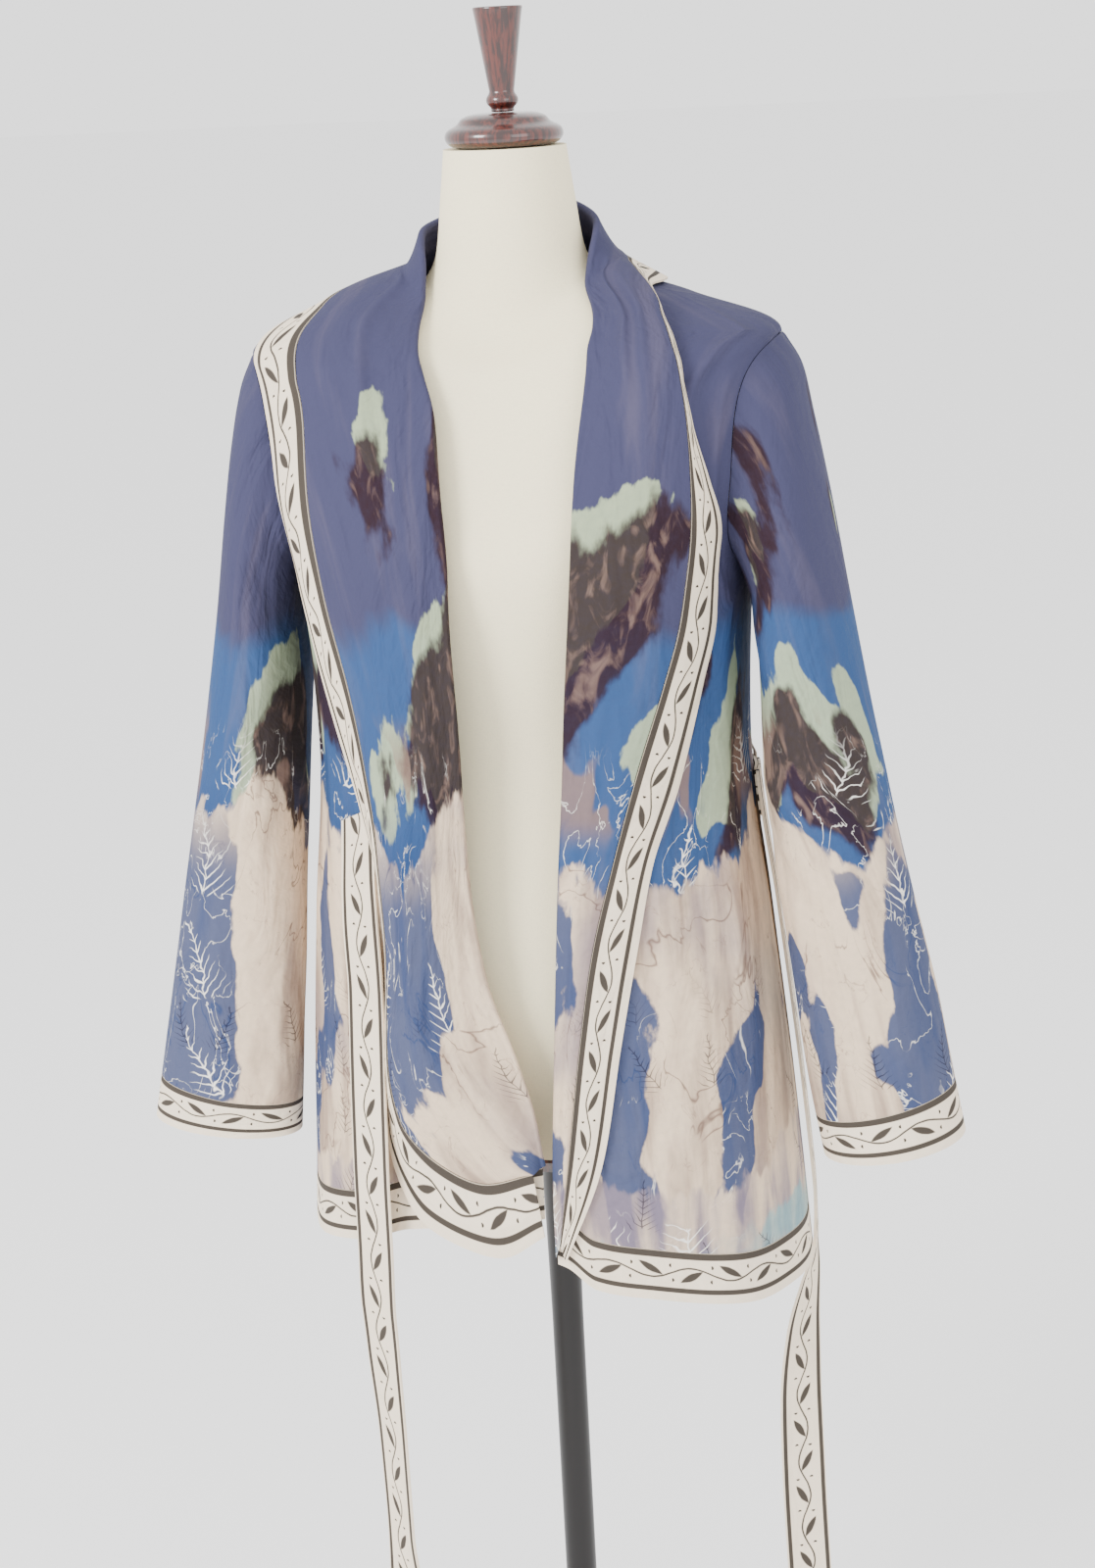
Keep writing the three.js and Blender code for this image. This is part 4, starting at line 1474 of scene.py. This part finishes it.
@dataclass(frozen=True)
class PaintedCloth:
    """The jacket's cloth, printed with abstract washes, ridges and fern sprays."""

    name: str
    seed: float
    lift: float = 0.0
    slate: Colour = linear(60, 60, 86)
    blue: Colour = linear(48, 74, 116)
    deep: Colour = linear(34, 58, 100)
    plum: Colour = linear(40, 23, 29)
    sage: Colour = linear(160, 172, 140)
    cream: Colour = linear(222, 198, 170)
    taupe: Colour = linear(128, 104, 92)
    rock: Colour = linear(88, 62, 54)
    lilac: Colour = linear(122, 110, 124)
    teal: Colour = linear(112, 166, 172)
    white: Colour = linear(238, 234, 226)
    ink: Colour = linear(24, 16, 24)

    def spray(self, graph: Graph, x: Field, y: Field, cell: float, seed: float, share: float) -> Field:
        """Draws scattered fern sprays.

        Args:
            graph: The material.
            x: Metres across.
            y: Metres up.
            cell: The metres between sprays.
            seed: What sets this layer apart.
            share: The share of places that hold one.

        Returns:
            A mask of the strokes.
        """
        column, row = (x / cell).floor(), (y / cell).floor()
        first, second, third = graph.chance(column, row, seed)
        sway = graph.noise(graph.joined(x, y, seed), 55.0, 2.0) - 0.5
        p = x / cell - column - 0.5 + (first - 0.5) * 0.3 + sway * 0.22
        q = y / cell - row - 0.5 + sway * 0.12
        angle = (third - 0.5) * 1.3 + q * (first - 0.5) * 1.6
        side = p * angle.cos() + q * angle.sin()
        up = q * angle.cos() - p * angle.sin()
        width = (0.4 - up) * 0.42
        reach = abs(side) / width.larger(0.01)
        beat = ((up - abs(side) * 0.8) * 10.0).fraction() - 0.5
        leaflet = beat.within(0.1 * (1.0 - reach), 0.05) * (1.0 - reach.step(0.8, 1.0))
        stem = side.within(0.007, 0.006)
        inside = up.within(0.38, 0.02)
        return leaflet.larger(stem) * inside * second.within(share, 0.001)

    def ridge(self, graph: Graph, x: Field, z: Field, level: float, swing: float, seed: float) -> Field:
        """Masks what lies under a wandering ridge line with a dry-brush edge.

        Args:
            graph: The material.
            x: Metres across.
            z: Metres above the floor.
            level: The ridge's mean height.
            swing: How far it wanders.
            seed: What sets this ridge apart.

        Returns:
            A mask.
        """
        line = graph.noise(graph.joined(x, seed, self.seed), 6.0, 4.0) - 0.5
        rough = graph.noise(graph.joined(x, z * 0.4, seed), 90.0, 3.0) - 0.5
        return (line * (2.0 * swing) + rough * 0.04 + level - z).step(-0.004, 0.004)

    def plume(self, graph: Graph, x: Field, z: Field, scale: float, seed: float) -> Field:
        """Makes the tall soft shapes that the washes follow.

        Args:
            graph: The material.
            x: Metres across.
            z: Metres above the floor.
            scale: Shapes a metre, across.
            seed: What sets this wash apart.

        Returns:
            Values round 0.5, with brushed edges.
        """
        tall = graph.noise(graph.joined(x, z * 0.42, self.seed + seed), scale, 2.0, 0.35)
        brushed = graph.noise(graph.joined(x, z * 0.5, seed), 70.0, 4.0)
        return tall + (brushed - 0.5) * 0.09

    def strokes(self, graph: Graph, x: Field, z: Field, scale: float, seed: float) -> Field:
        """Draws fine broken brush lines.

        Args:
            graph: The material.
            x: Metres across.
            z: Metres above the floor.
            scale: Lines a metre, roughly.
            seed: What sets this layer apart.

        Returns:
            A mask.
        """
        line = graph.noise(graph.joined(x, z * 0.55, self.seed + seed), scale, 4.0, 0.9) - 0.5
        gaps = graph.noise(graph.joined(x, z, seed), scale * 0.7, 2.0)
        return line.within(0.004, 0.006) * gaps.step(0.46, 0.56)

    def make(self) -> bpy.types.Material:
        """Builds the material.

        Returns:
            The material.
        """
        graph = Graph(self.name)
        across, down = graph.cloth()
        z = graph.place()[2]
        x = across + self.seed
        spot = graph.joined(x, z, self.seed)
        broad = graph.noise(spot, 5.0, 4.0, 0.8)
        streak = graph.noise(graph.joined(x, z * 0.16, self.seed), 38.0, 4.0, 0.4)
        grain = graph.noise(spot, 160.0, 4.0)
        shade = z + (broad - 0.5) * 0.12
        colour = graph.mix(shade.step(1.125, 1.15), self.blue, self.slate)
        colour = graph.mix((1.0 - shade.step(0.84, 0.98)) * 0.8, colour, self.deep)
        colour = graph.mix(streak.step(0.5, 0.75) * 0.16, colour, self.lilac)

        smoke = self.plume(graph, x, z, 8.0, 5.0)
        lifted = self.plume(graph, x + 0.012, z - 0.035, 8.0, 5.0)
        away = (z - (1.2 + self.lift)).larger(0.0) * 1.5 + (1.04 - z).larger(0.0) * 1.5
        lifted = lifted - away
        smoke = smoke - away
        colour = graph.mix(lifted.step(0.54, 0.552) * 0.85, colour, self.sage)
        colour = graph.mix(smoke.step(0.52, 0.55) * 0.95, colour, self.plum)
        veil = graph.noise(graph.joined(x, z * 0.5, self.seed), 60.0, 5.0, 1.2)
        colour = graph.mix(smoke.step(0.53, 0.56) * veil.step(0.5, 0.72) * 0.6, colour, self.taupe)
        rust = self.plume(graph, x, z, 21.0, 8.0).step(0.56, 0.6)
        band = z.step(0.97, 1.0) * (1.0 - z.step(1.03, 1.08))
        colour = graph.mix(rust * band * 0.75, colour, self.taupe)

        cream = self.ridge(graph, x, z, 0.97, 0.17, 1.0)
        stone = graph.mix(streak.step(0.42, 0.68) * 0.7, self.cream, self.taupe)
        stone = graph.mix(broad.step(0.5, 0.7) * 0.6, stone, self.lilac)
        colour = graph.mix(cream * 0.96, colour, stone)
        colour = graph.mix(self.strokes(graph, x, z, 16.0, 13.0) * cream * 0.8, colour, self.rock)
        colour = graph.mix(self.strokes(graph, x, z, 40.0, 15.0) * cream * 0.5, colour, self.taupe)
        river = self.plume(graph, x, z, 10.0, 11.0).step(0.515, 0.53)
        river = river * (1.0 - z.step(0.92, 1.02))
        colour = graph.mix(river * 0.92, colour, self.deep)
        wet = river.larger((1.0 - cream) * (1.0 - z.step(1.0, 1.06)))
        colour = graph.mix(self.strokes(graph, x, z, 34.0, 17.0) * wet * 0.85, colour, self.white)
        low = self.ridge(graph, x, z, 0.70, 0.08, 2.0)
        haze = graph.mix(streak.step(0.4, 0.66), self.lilac, self.cream)
        colour = graph.mix(low * 0.85, colour, haze)
        foam = self.ridge(graph, x, z, 0.66, 0.05, 3.0) * broad.step(0.4, 0.6)
        colour = graph.mix(foam * 0.6, colour, self.teal)

        dark = self.spray(graph, x + 0.04, z, 0.055, self.seed + 2.0, 0.4)
        colour = graph.mix(dark * (1.0 - z.step(0.8, 0.88)) * 0.75, colour, self.ink)
        pale = self.spray(graph, x, z, 0.09, self.seed + 1.0, 0.55)
        colour = graph.mix(pale * wet, colour, self.white)
        colour = graph.mix((grain - 0.35) * 0.25, colour, self.slate)
        normal = creasing(graph, across, down, self.seed)
        return graph.close(colour, 0.78, normal, specular_ior_level=0.12)


class Motif(Enum):
    """What a border strip shows across its width."""

    EDGED = "edged"
    BELT = "belt"


@dataclass(frozen=True)
class BorderCloth:
    """The cream strips with dark lines and a running sprig."""

    name: str
    motif: Motif
    seed: float
    cream: Colour = linear(240, 224, 200)
    ink: Colour = linear(18, 11, 13)

    def lines(self, across: Field) -> Field:
        """Draws the dark lines along the strip.

        Args:
            across: Metres from the strip's first edge, or from a belt's middle.

        Returns:
            A mask.
        """
        if self.motif is Motif.BELT:
            return (abs(across) - 0.0162).within(0.0018, 0.0003)
        beside = (across - 0.003).within(0.0028, 0.0003)
        return beside.larger((across - 0.0325).within(0.0021, 0.0003))

    def sprig(self, across: Field, down: Field) -> Field:
        """Draws the running sprig of leaves and dots.

        Args:
            across: Metres from the strip's first edge, or from a belt's middle.
            down: Metres along the strip.

        Returns:
            A mask.
        """
        middle = 0.0 if self.motif is Motif.BELT else 0.0178
        s = (across - middle) / 0.011
        turn = down * (2 * math.pi / 0.064)
        wave = turn.sin()
        stem = (s - wave * 0.42).within(0.07, 0.04)
        beat = (down * (2 / 0.064)).fraction() - 0.5
        side = wave.sign()
        a = beat * 2.3 + s * side * 0.7 + 0.2
        b = s * side * 0.9 - beat * 1.5 + 0.22
        leaf = b.within(0.27 * (1.0 - a * a), 0.05)
        dot = ((abs(beat) - 0.5) * 2.6) ** 2.0 + (s * side + 0.55) ** 2.0
        return stem.larger(leaf).larger(1.0 - dot.step(0.016, 0.028))

    def make(self) -> bpy.types.Material:
        """Builds the material.

        Returns:
            The material.
        """
        graph = Graph(self.name)
        across, down = graph.cloth()
        worn = graph.noise(graph.joined(across, down, self.seed), 120.0, 3.0)
        stroke = across + (worn - 0.5) * 0.0012
        drawn = self.sprig(stroke, down + self.seed).larger(self.lines(across))
        colour = graph.mix(worn * 0.18, self.cream, linear(200, 182, 166))
        colour = graph.mix(drawn * 0.94, colour, self.ink)
        normal = creasing(graph, across, down, self.seed)
        return graph.close(colour, 0.78, normal, specular_ior_level=0.12)


@dataclass(frozen=True)
class Linen:
    """The dress form's tight cream cover."""

    name: str
    tone: Colour = linear(248, 236, 200)

    def make(self) -> bpy.types.Material:
        """Builds the material.

        Returns:
            The material.
        """
        graph = Graph(self.name)
        x, y, z = graph.place()
        warp = graph.noise(graph.joined(x * 6.0, y * 6.0, z), 260.0, 2.0)
        weft = graph.noise(graph.joined(x, y, z * 6.0), 260.0, 2.0)
        slub = warp + weft
        colour = graph.mix(slub.step(0.9, 1.3) * 0.25, self.tone, linear(226, 214, 184))
        return graph.close(colour, 0.9, graph.bump(slub, 0.0004, 0.5))


@dataclass(frozen=True)
class Wood:
    """Glossy red-brown varnished wood."""

    name: str
    dark: Colour = linear(40, 12, 9)
    light: Colour = linear(84, 30, 20)

    def make(self) -> bpy.types.Material:
        """Builds the material.

        Returns:
            The material.
        """
        graph = Graph(self.name)
        x, y, z = graph.place()
        figure = graph.noise(graph.joined(x * 6.0, y * 6.0, z * 0.5), 60.0, 4.0, 0.5)
        colour = graph.mix(figure.step(0.4, 0.62), self.dark, self.light)
        return graph.close(colour, 0.34, None, coat_weight=0.9, coat_roughness=0.08)


@dataclass(frozen=True)
class Enamel:
    """The pole's satin black enamel."""

    name: str

    def make(self) -> bpy.types.Material:
        """Builds the material.

        Returns:
            The material.
        """
        return Graph(self.name).close(linear(34, 32, 32), 0.4, None, metallic=0.5)


@dataclass(frozen=True)
class Pale:
    """The plain pale floor."""

    name: str

    def make(self) -> bpy.types.Material:
        """Builds the material.

        Returns:
            The material.
        """
        return Graph(self.name).close(linear(250, 250, 250), 0.95)


def turned(name: str, profile: list[tuple[float, float]], base: float, passes: int) -> bpy.types.Mesh:
    """Makes a turned solid by spinning its profile.

    Args:
        name: The mesh's name.
        profile: Radius and height pairs, from the axis at its foot to its top.
        base: The height that the profile starts from, in millimetres.
        passes: How many times its corners are cut rounder.

    Returns:
        The mesh.
    """
    points = np.array(profile, float)
    for _ in range(passes):
        near, far = (lerp(points[:-1], points[1:], share) for share in (0.25, 0.75))
        cut = np.stack([near, far], axis=1)
        points = np.concatenate([points[:1], cut.reshape(-1, 2)[1:-1], points[-1:]])
    points = np.round(points, 4)
    bm = bmesh.new()
    bmesh.ops.create_grid(bm, x_segments=96, y_segments=len(points) - 1, size=1.0)
    for vert in bm.verts:
        radius, height = points[round((1 - vert.co.y) / 2 * (len(points) - 1))]
        angle = vert.co.x * math.pi
        vert.co = Vector((radius * math.sin(angle), -radius * math.cos(angle), height + base)) * MM
    bmesh.ops.remove_doubles(bm, verts=bm.verts[:], dist=1e-6)
    bmesh.ops.recalc_face_normals(bm, faces=bm.faces[:])
    mesh = bpy.data.meshes.new(name)
    bm.to_mesh(mesh)
    bm.free()
    return mesh


def torso() -> bpy.types.Mesh:
    """Makes the dress form's padded body.

    Returns:
        The mesh, closed at both ends.
    """
    bm = bmesh.new()
    bmesh.ops.create_grid(bm, x_segments=144, y_segments=210, size=1.0)
    grid = np.array([v.co[:2] for v in bm.verts])
    drop = lerp(FORM_ROWS["drop"][0], FORM_ROWS["drop"][-1], (1 - grid[:, 1]) / 2)
    for vert, co in zip(bm.verts, BODY.at(grid[:, 0] * 180, drop) * MM):
        vert.co = co
    bmesh.ops.remove_doubles(bm, verts=bm.verts[:], dist=1e-6)
    bmesh.ops.holes_fill(bm, edges=[e for e in bm.edges if e.is_boundary], sides=0)
    for face in bm.faces:
        if len(face.verts) > 4:
            for edge in face.edges:
                edge.smooth = False
    bmesh.ops.recalc_face_normals(bm, faces=bm.faces[:])
    mesh = bpy.data.meshes.new("form_torso")
    bm.to_mesh(mesh)
    bm.free()
    return mesh


class Slot(Enum):
    """The record's material slots."""

    CLOTH = "jacket_cloth"
    BORDER = "border_cloth"
    LINEN = "form_linen"
    WOOD = "dark_wood"
    METAL = "stand_metal"


Finish = PaintedCloth | BorderCloth | Linen | Wood | Enamel


def place_piece(node: str, mesh: bpy.types.Mesh, finish: Finish) -> bpy.types.Object:
    """Puts a piece in the scene in place of its CAD node.

    Args:
        node: The CAD node that it stands for.
        mesh: Its mesh.
        finish: What it is made of.

    Returns:
        The object.
    """
    mesh.polygons.foreach_set("use_smooth", [True] * len(mesh.polygons))
    mesh.materials.append(finish.make())
    made = bpy.data.objects.new(f"{node}_fine", mesh)
    bpy.context.collection.objects.link(made)
    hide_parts(node)
    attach(made, "root")
    triangles = sum(len(p.vertices) - 2 for p in mesh.polygons)
    LOG.info("%s: %d triangles, %.4f m2 of skin", node, triangles, sum(p.area for p in mesh.polygons))
    return made


@dataclass
class DressForm:
    """The form that wears the jacket, and its stand."""

    pieces: list[bpy.types.Object] = field(default_factory=list)

    def build(self) -> None:
        """Makes every piece of the form."""
        wood = Wood("mahogany")
        pole = turned("stand_pole", POLE_PROFILE, 0, 1)
        self.pieces = [
            place_piece("stand_pole", pole, Enamel("enamel")),
            place_piece("form_torso", torso(), Linen("linen")),
            place_piece("neck_cap", turned("neck_cap", CAP_PROFILE, CAP_Z, 2), wood),
            place_piece("neck_finial", turned("neck_finial", FINIAL_PROFILE, CAP_Z, 2), wood),
            place_piece("stand_base", turned("stand_base", BASE_PROFILE, 0, 2), wood),
        ]
        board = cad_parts["form_board"]
        board.data.materials.clear()
        board.data.materials.append(wood.make())
        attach(board, "root")


@dataclass(frozen=True)
class Cut:
    """A piece's flat cut before it was sewn, in metres, and how it is held."""

    width: float
    length: float
    area: float
    held: str
    rests_on: str


BACK_FOLDS = (
    Fold((0.30, 0.62), (0.16, 0.22), 16, 3.3),
    Fold((0.30, 0.60), (0.84, 0.79), 16, 3.3),
    Fold((0.45, 0.72), (0.42, 0.46), 20, 2.4),
    Fold((0.42, 0.70), (0.63, 0.60), 18, 2.4),
)
FRONT_LEFT_FOLDS = (
    Fold((0.18, 0.50), (0.72, 0.60), 11, 3.6),
    Fold((0.30, 0.62), (0.90, 0.78), 9, 2.7),
    Fold((0.58, 0.95), (0.70, 0.74), 13, 3.9),
    Fold((0.66, 0.98), (0.40, 0.44), 15, 3.3),
)
FRONT_RIGHT_FOLDS = (
    Fold((0.20, 0.52), (0.90, 0.84), 10, 3.0),
    Fold((0.62, 0.96), (0.86, 0.82), 12, 3.6),
    Fold((0.66, 0.98), (0.64, 0.60), 12, 3.0),
)
COLLAR_LEFT_FOLDS = (
    Fold((0.20, 0.48), (0.30, 0.42), 9, 3.6),
    Fold((0.24, 0.56), (0.62, 0.60), 11, 3.0),
    Fold((0.60, 0.90), (0.35, 0.45), 16, 2.4),
)
COLLAR_RIGHT_FOLDS = (
    Fold((0.22, 0.50), (0.40, 0.52), 10, 3.0),
    Fold((0.55, 0.85), (0.30, 0.40), 18, 3.9),
    Fold((0.62, 0.92), (0.66, 0.60), 14, 3.0),
)
SLEEVE_LEFT_FOLDS = (
    Fold((0.10, 0.34), (0.30, 0.14), 11, 4.5),
    Fold((0.16, 0.46), (0.40, 0.26), 12, 3.9),
    Fold((0.44, 0.60), (0.42, 0.16), 12, 4.8),
    Fold((0.52, 0.66), (0.46, 0.28), 10, -3.9),
    Fold((0.60, 0.90), (0.12, 0.18), 13, 3.3),
    Fold((0.40, 0.58), (0.78, 0.92), 13, 3.9),
)
SLEEVE_RIGHT_FOLDS = (
    Fold((0.08, 0.32), (0.32, 0.18), 11, 3.9),
    Fold((0.24, 0.52), (0.38, 0.22), 11, 3.6),
    Fold((0.46, 0.62), (0.44, 0.12), 12, 4.5),
    Fold((0.62, 0.92), (0.20, 0.26), 12, 3.3),
    Fold((0.38, 0.56), (0.76, 0.90), 13, 3.9),
)


@dataclass
class Jacket:
    """The wrap jacket, piece by piece as it is cut and sewn."""

    pieces: dict[str, bpy.types.Object] = field(default_factory=dict)

    def sew(self, sheet: Sheet, finish: Finish) -> None:
        """Args:
            sheet: The piece.
            finish: Its cloth.
        """
        made = place_piece(sheet.node, sheet.mesh(), finish)
        self.pieces[sheet.node] = made

    def body(self) -> None:
        """Sews the back, the fronts and the hem's border."""
        back = Sheet("jacket_back", back_place(BACK_FOLDS), 200, 170)
        self.sew(back, PaintedCloth("paint_back", 0.0))
        left = Sheet("jacket_front_left", front_place(Side.LEFT, FRONT_LEFT_FOLDS), 220, 90)
        self.sew(left, PaintedCloth("paint_front_left", 1.13))
        right = Sheet("jacket_front_right", front_place(Side.RIGHT, FRONT_RIGHT_FOLDS), 220, 110)
        self.sew(right, PaintedCloth("paint_front_right", 2.31))
        ends = {}
        for side in Side:
            turn, _ = trace(roll_rows(side), side)(1.0)
            ends[side] = float(roll_turn(HEM(turn) - BORDER, side))
        lengths = (
            ("hem_border_left", ends[Side.LEFT], 90.0, (Side.LEFT, None), 96),
            ("hem_border_back", 90.0, 270.0, (None, None), 192),
            ("hem_border_right", 270.0, ends[Side.RIGHT], (None, Side.RIGHT), 112),
        )
        for seed, (node, first, last, follow, columns) in enumerate(lengths):
            sheet = HemStrip(node, hem_place(first, last, follow), 14, columns, band=BORDER)
            self.sew(sheet, BorderCloth(f"band_{node}", Motif.EDGED, 0.1 * seed))

    def collar(self) -> None:
        """Sews the stand, the shawl collar and its border."""
        self.sew(Sheet("collar_stand", stand_place, 96, 14), PaintedCloth("paint_stand", 3.7))
        halves = (
            (Side.LEFT, COLLAR_LEFT_FOLDS, 4.2, 0.02),
            (Side.RIGHT, COLLAR_RIGHT_FOLDS, 5.9, 0.12),
        )
        for side, folds, seed, lift in halves:
            half = Collar(side, folds)
            name = side.name.lower()
            fall = Sheet(f"collar_{name}", half.fall, 260, 62)
            self.sew(fall, PaintedCloth(f"paint_collar_{name}", seed, lift))
            strip = Sheet(f"collar_border_{name}", half.border, 260, 14, band=BORDER)
            self.sew(strip, BorderCloth(f"band_collar_{name}", Motif.EDGED, seed))

    def sleeves(self) -> None:
        """Sews the sleeves and their cuff borders."""
        pair = ((Side.LEFT, SLEEVE_LEFT_FOLDS, 6.4), (Side.RIGHT, SLEEVE_RIGHT_FOLDS, 7.7))
        for side, folds, seed in pair:
            sleeve = Sleeve(side, folds)
            name = side.name.lower()
            arm = sleeve.part(0.0006, CUFF_SHARE - 0.0004)
            upper = Sheet(f"sleeve_{name}", arm, 190, 168, tube=True)
            self.sew(upper, PaintedCloth(f"paint_sleeve_{name}", seed))
            wrist = sleeve.part(CUFF_SHARE, 1.0)
            cuff = HemStrip(f"cuff_border_{name}", wrist, 14, 168, tube=True, band=BORDER)
            self.sew(cuff, BorderCloth(f"band_cuff_{name}", Motif.EDGED, seed))

    def belt(self) -> None:
        """Sews the belt, its loop and its hanging ends."""
        round_back = BeltStrip("belt_back", belt_back, 8, 200, BELT_THICK, band=BELT_WIDTH)
        self.sew(round_back, BorderCloth("band_belt", Motif.BELT, 0.3))
        loop = Sheet("belt_loop", belt_loop, 40, 6, LOOP_THICK)
        self.sew(loop, BorderCloth("band_loop", Motif.BELT, 0.4))
        ends = (("belt_end_left", BELT_LEFT, 0.0), ("belt_end_right", BELT_RIGHT, 18.0))
        for seed, (node, rows, slant) in enumerate(ends):
            sheet = Sheet(node, belt_end(rows, slant), 240, 12, BELT_THICK)
            self.sew(sheet, BorderCloth(f"band_{node}", Motif.BELT, 0.2 * seed))

    def build(self) -> None:
        """Sews every piece."""
        self.body()
        self.collar()
        self.sleeves()
        self.belt()


class HemStrip(Sheet):
    """A border strip whose rows run across its width."""

    def flat(self, u: np.ndarray, w: np.ndarray) -> np.ndarray:
        """Lays the strip out with its width across.

        Args:
            u: Each vertex's share across the strip.
            w: Each vertex's share along it.

        Returns:
            Metres across and along the strip.
        """
        ws = np.linspace(0, 1, 81)
        steps = np.linalg.norm(np.diff(self.place(np.full(81, 0.5), ws, 0.0), axis=0), axis=-1)
        length = np.concatenate([[0], np.cumsum(steps)])
        return np.stack([u * self.band, np.interp(w, ws, length)], axis=-1) * MM


class BeltStrip(HemStrip):
    """A belt whose rows run across its width, measured from its middle."""

    def flat(self, u: np.ndarray, w: np.ndarray) -> np.ndarray:
        """Lays the belt out with its width across.

        Args:
            u: Each vertex's share across the belt.
            w: Each vertex's share along it.

        Returns:
            Metres across, from its middle, and along the belt.
        """
        return super().flat(u, w) - np.array([BELT_WIDTH / 2 * MM, 0.0])


@dataclass(frozen=True)
class Studio:
    """The photo's camera, soft lights and a plain pale floor."""

    eye: tuple[float, float, float] = (0.4918, -1.8353, 1.56)
    target: tuple[float, float, float] = (0.0, 0.0, 0.983)
    roll: float = -3.1
    lens: float = 58.05
    shift: float = 0.0053

    def camera(self) -> None:
        """Stands the camera where the photo was taken from."""
        data = bpy.data.cameras.new("camera")
        data.lens = self.lens
        data.sensor_width = 36.0
        data.shift_x = self.shift
        made = bpy.data.objects.new("camera", data)
        ahead = (Vector(self.target) - Vector(self.eye)).normalized()
        right = ahead.cross(Vector((0, 0, 1))).normalized()
        up = right.cross(ahead)
        c, s = math.cos(math.radians(self.roll)), math.sin(math.radians(self.roll))
        axes = Matrix([right * c + up * s, up * c - right * s, -ahead]).transposed()
        made.matrix_world = Matrix.Translation(self.eye) @ axes.to_4x4()
        bpy.context.collection.objects.link(made)
        bpy.context.scene.camera = made

    def light(self, name: str, at: tuple, size: float, power: float) -> None:
        """Adds a soft light aimed at the jacket.

        Args:
            name: Its name.
            at: Its place in metres.
            size: Its side in metres.
            power: Its watts.
        """
        data = bpy.data.lights.new(name, "AREA")
        data.size = size
        data.energy = power
        made = bpy.data.objects.new(name, data)
        made.location = at
        aim = Vector((0, 0, 1.0)) - Vector(at)
        made.rotation_euler = aim.to_track_quat("-Z", "Y").to_euler()
        bpy.context.collection.objects.link(made)

    def floor(self) -> None:
        """Lays the floor."""
        bm = bmesh.new()
        bmesh.ops.create_grid(bm, x_segments=1, y_segments=1, size=40.0)
        mesh = bpy.data.meshes.new("floor")
        bm.to_mesh(mesh)
        bm.free()
        mesh.materials.append(Pale("floor").make())
        made = bpy.data.objects.new("floor", mesh)
        bpy.context.collection.objects.link(made)

    def build(self) -> None:
        """Sets up the camera, the floor and the lights."""
        self.camera()
        self.floor()
        world = bpy.data.worlds.new("studio")
        world.use_nodes = True
        backdrop = world.node_tree.nodes["Background"]
        backdrop.inputs["Color"].default_value = (1.0, 1.0, 1.0, 1.0)
        backdrop.inputs["Strength"].default_value = 1.9
        bpy.context.scene.world = world
        self.light("key", (-1.9, -2.6, 2.7), 1.2, 150.0)
        self.light("fill", (2.4, -2.4, 2.0), 2.0, 36.0)


def main() -> None:
    """Builds the form, the jacket and the studio in order."""
    logging.basicConfig(level=logging.INFO, format="%(message)s")
    DressForm().build()
    Jacket().build()
    Studio().build()


if __name__ == "__main__":
    main()
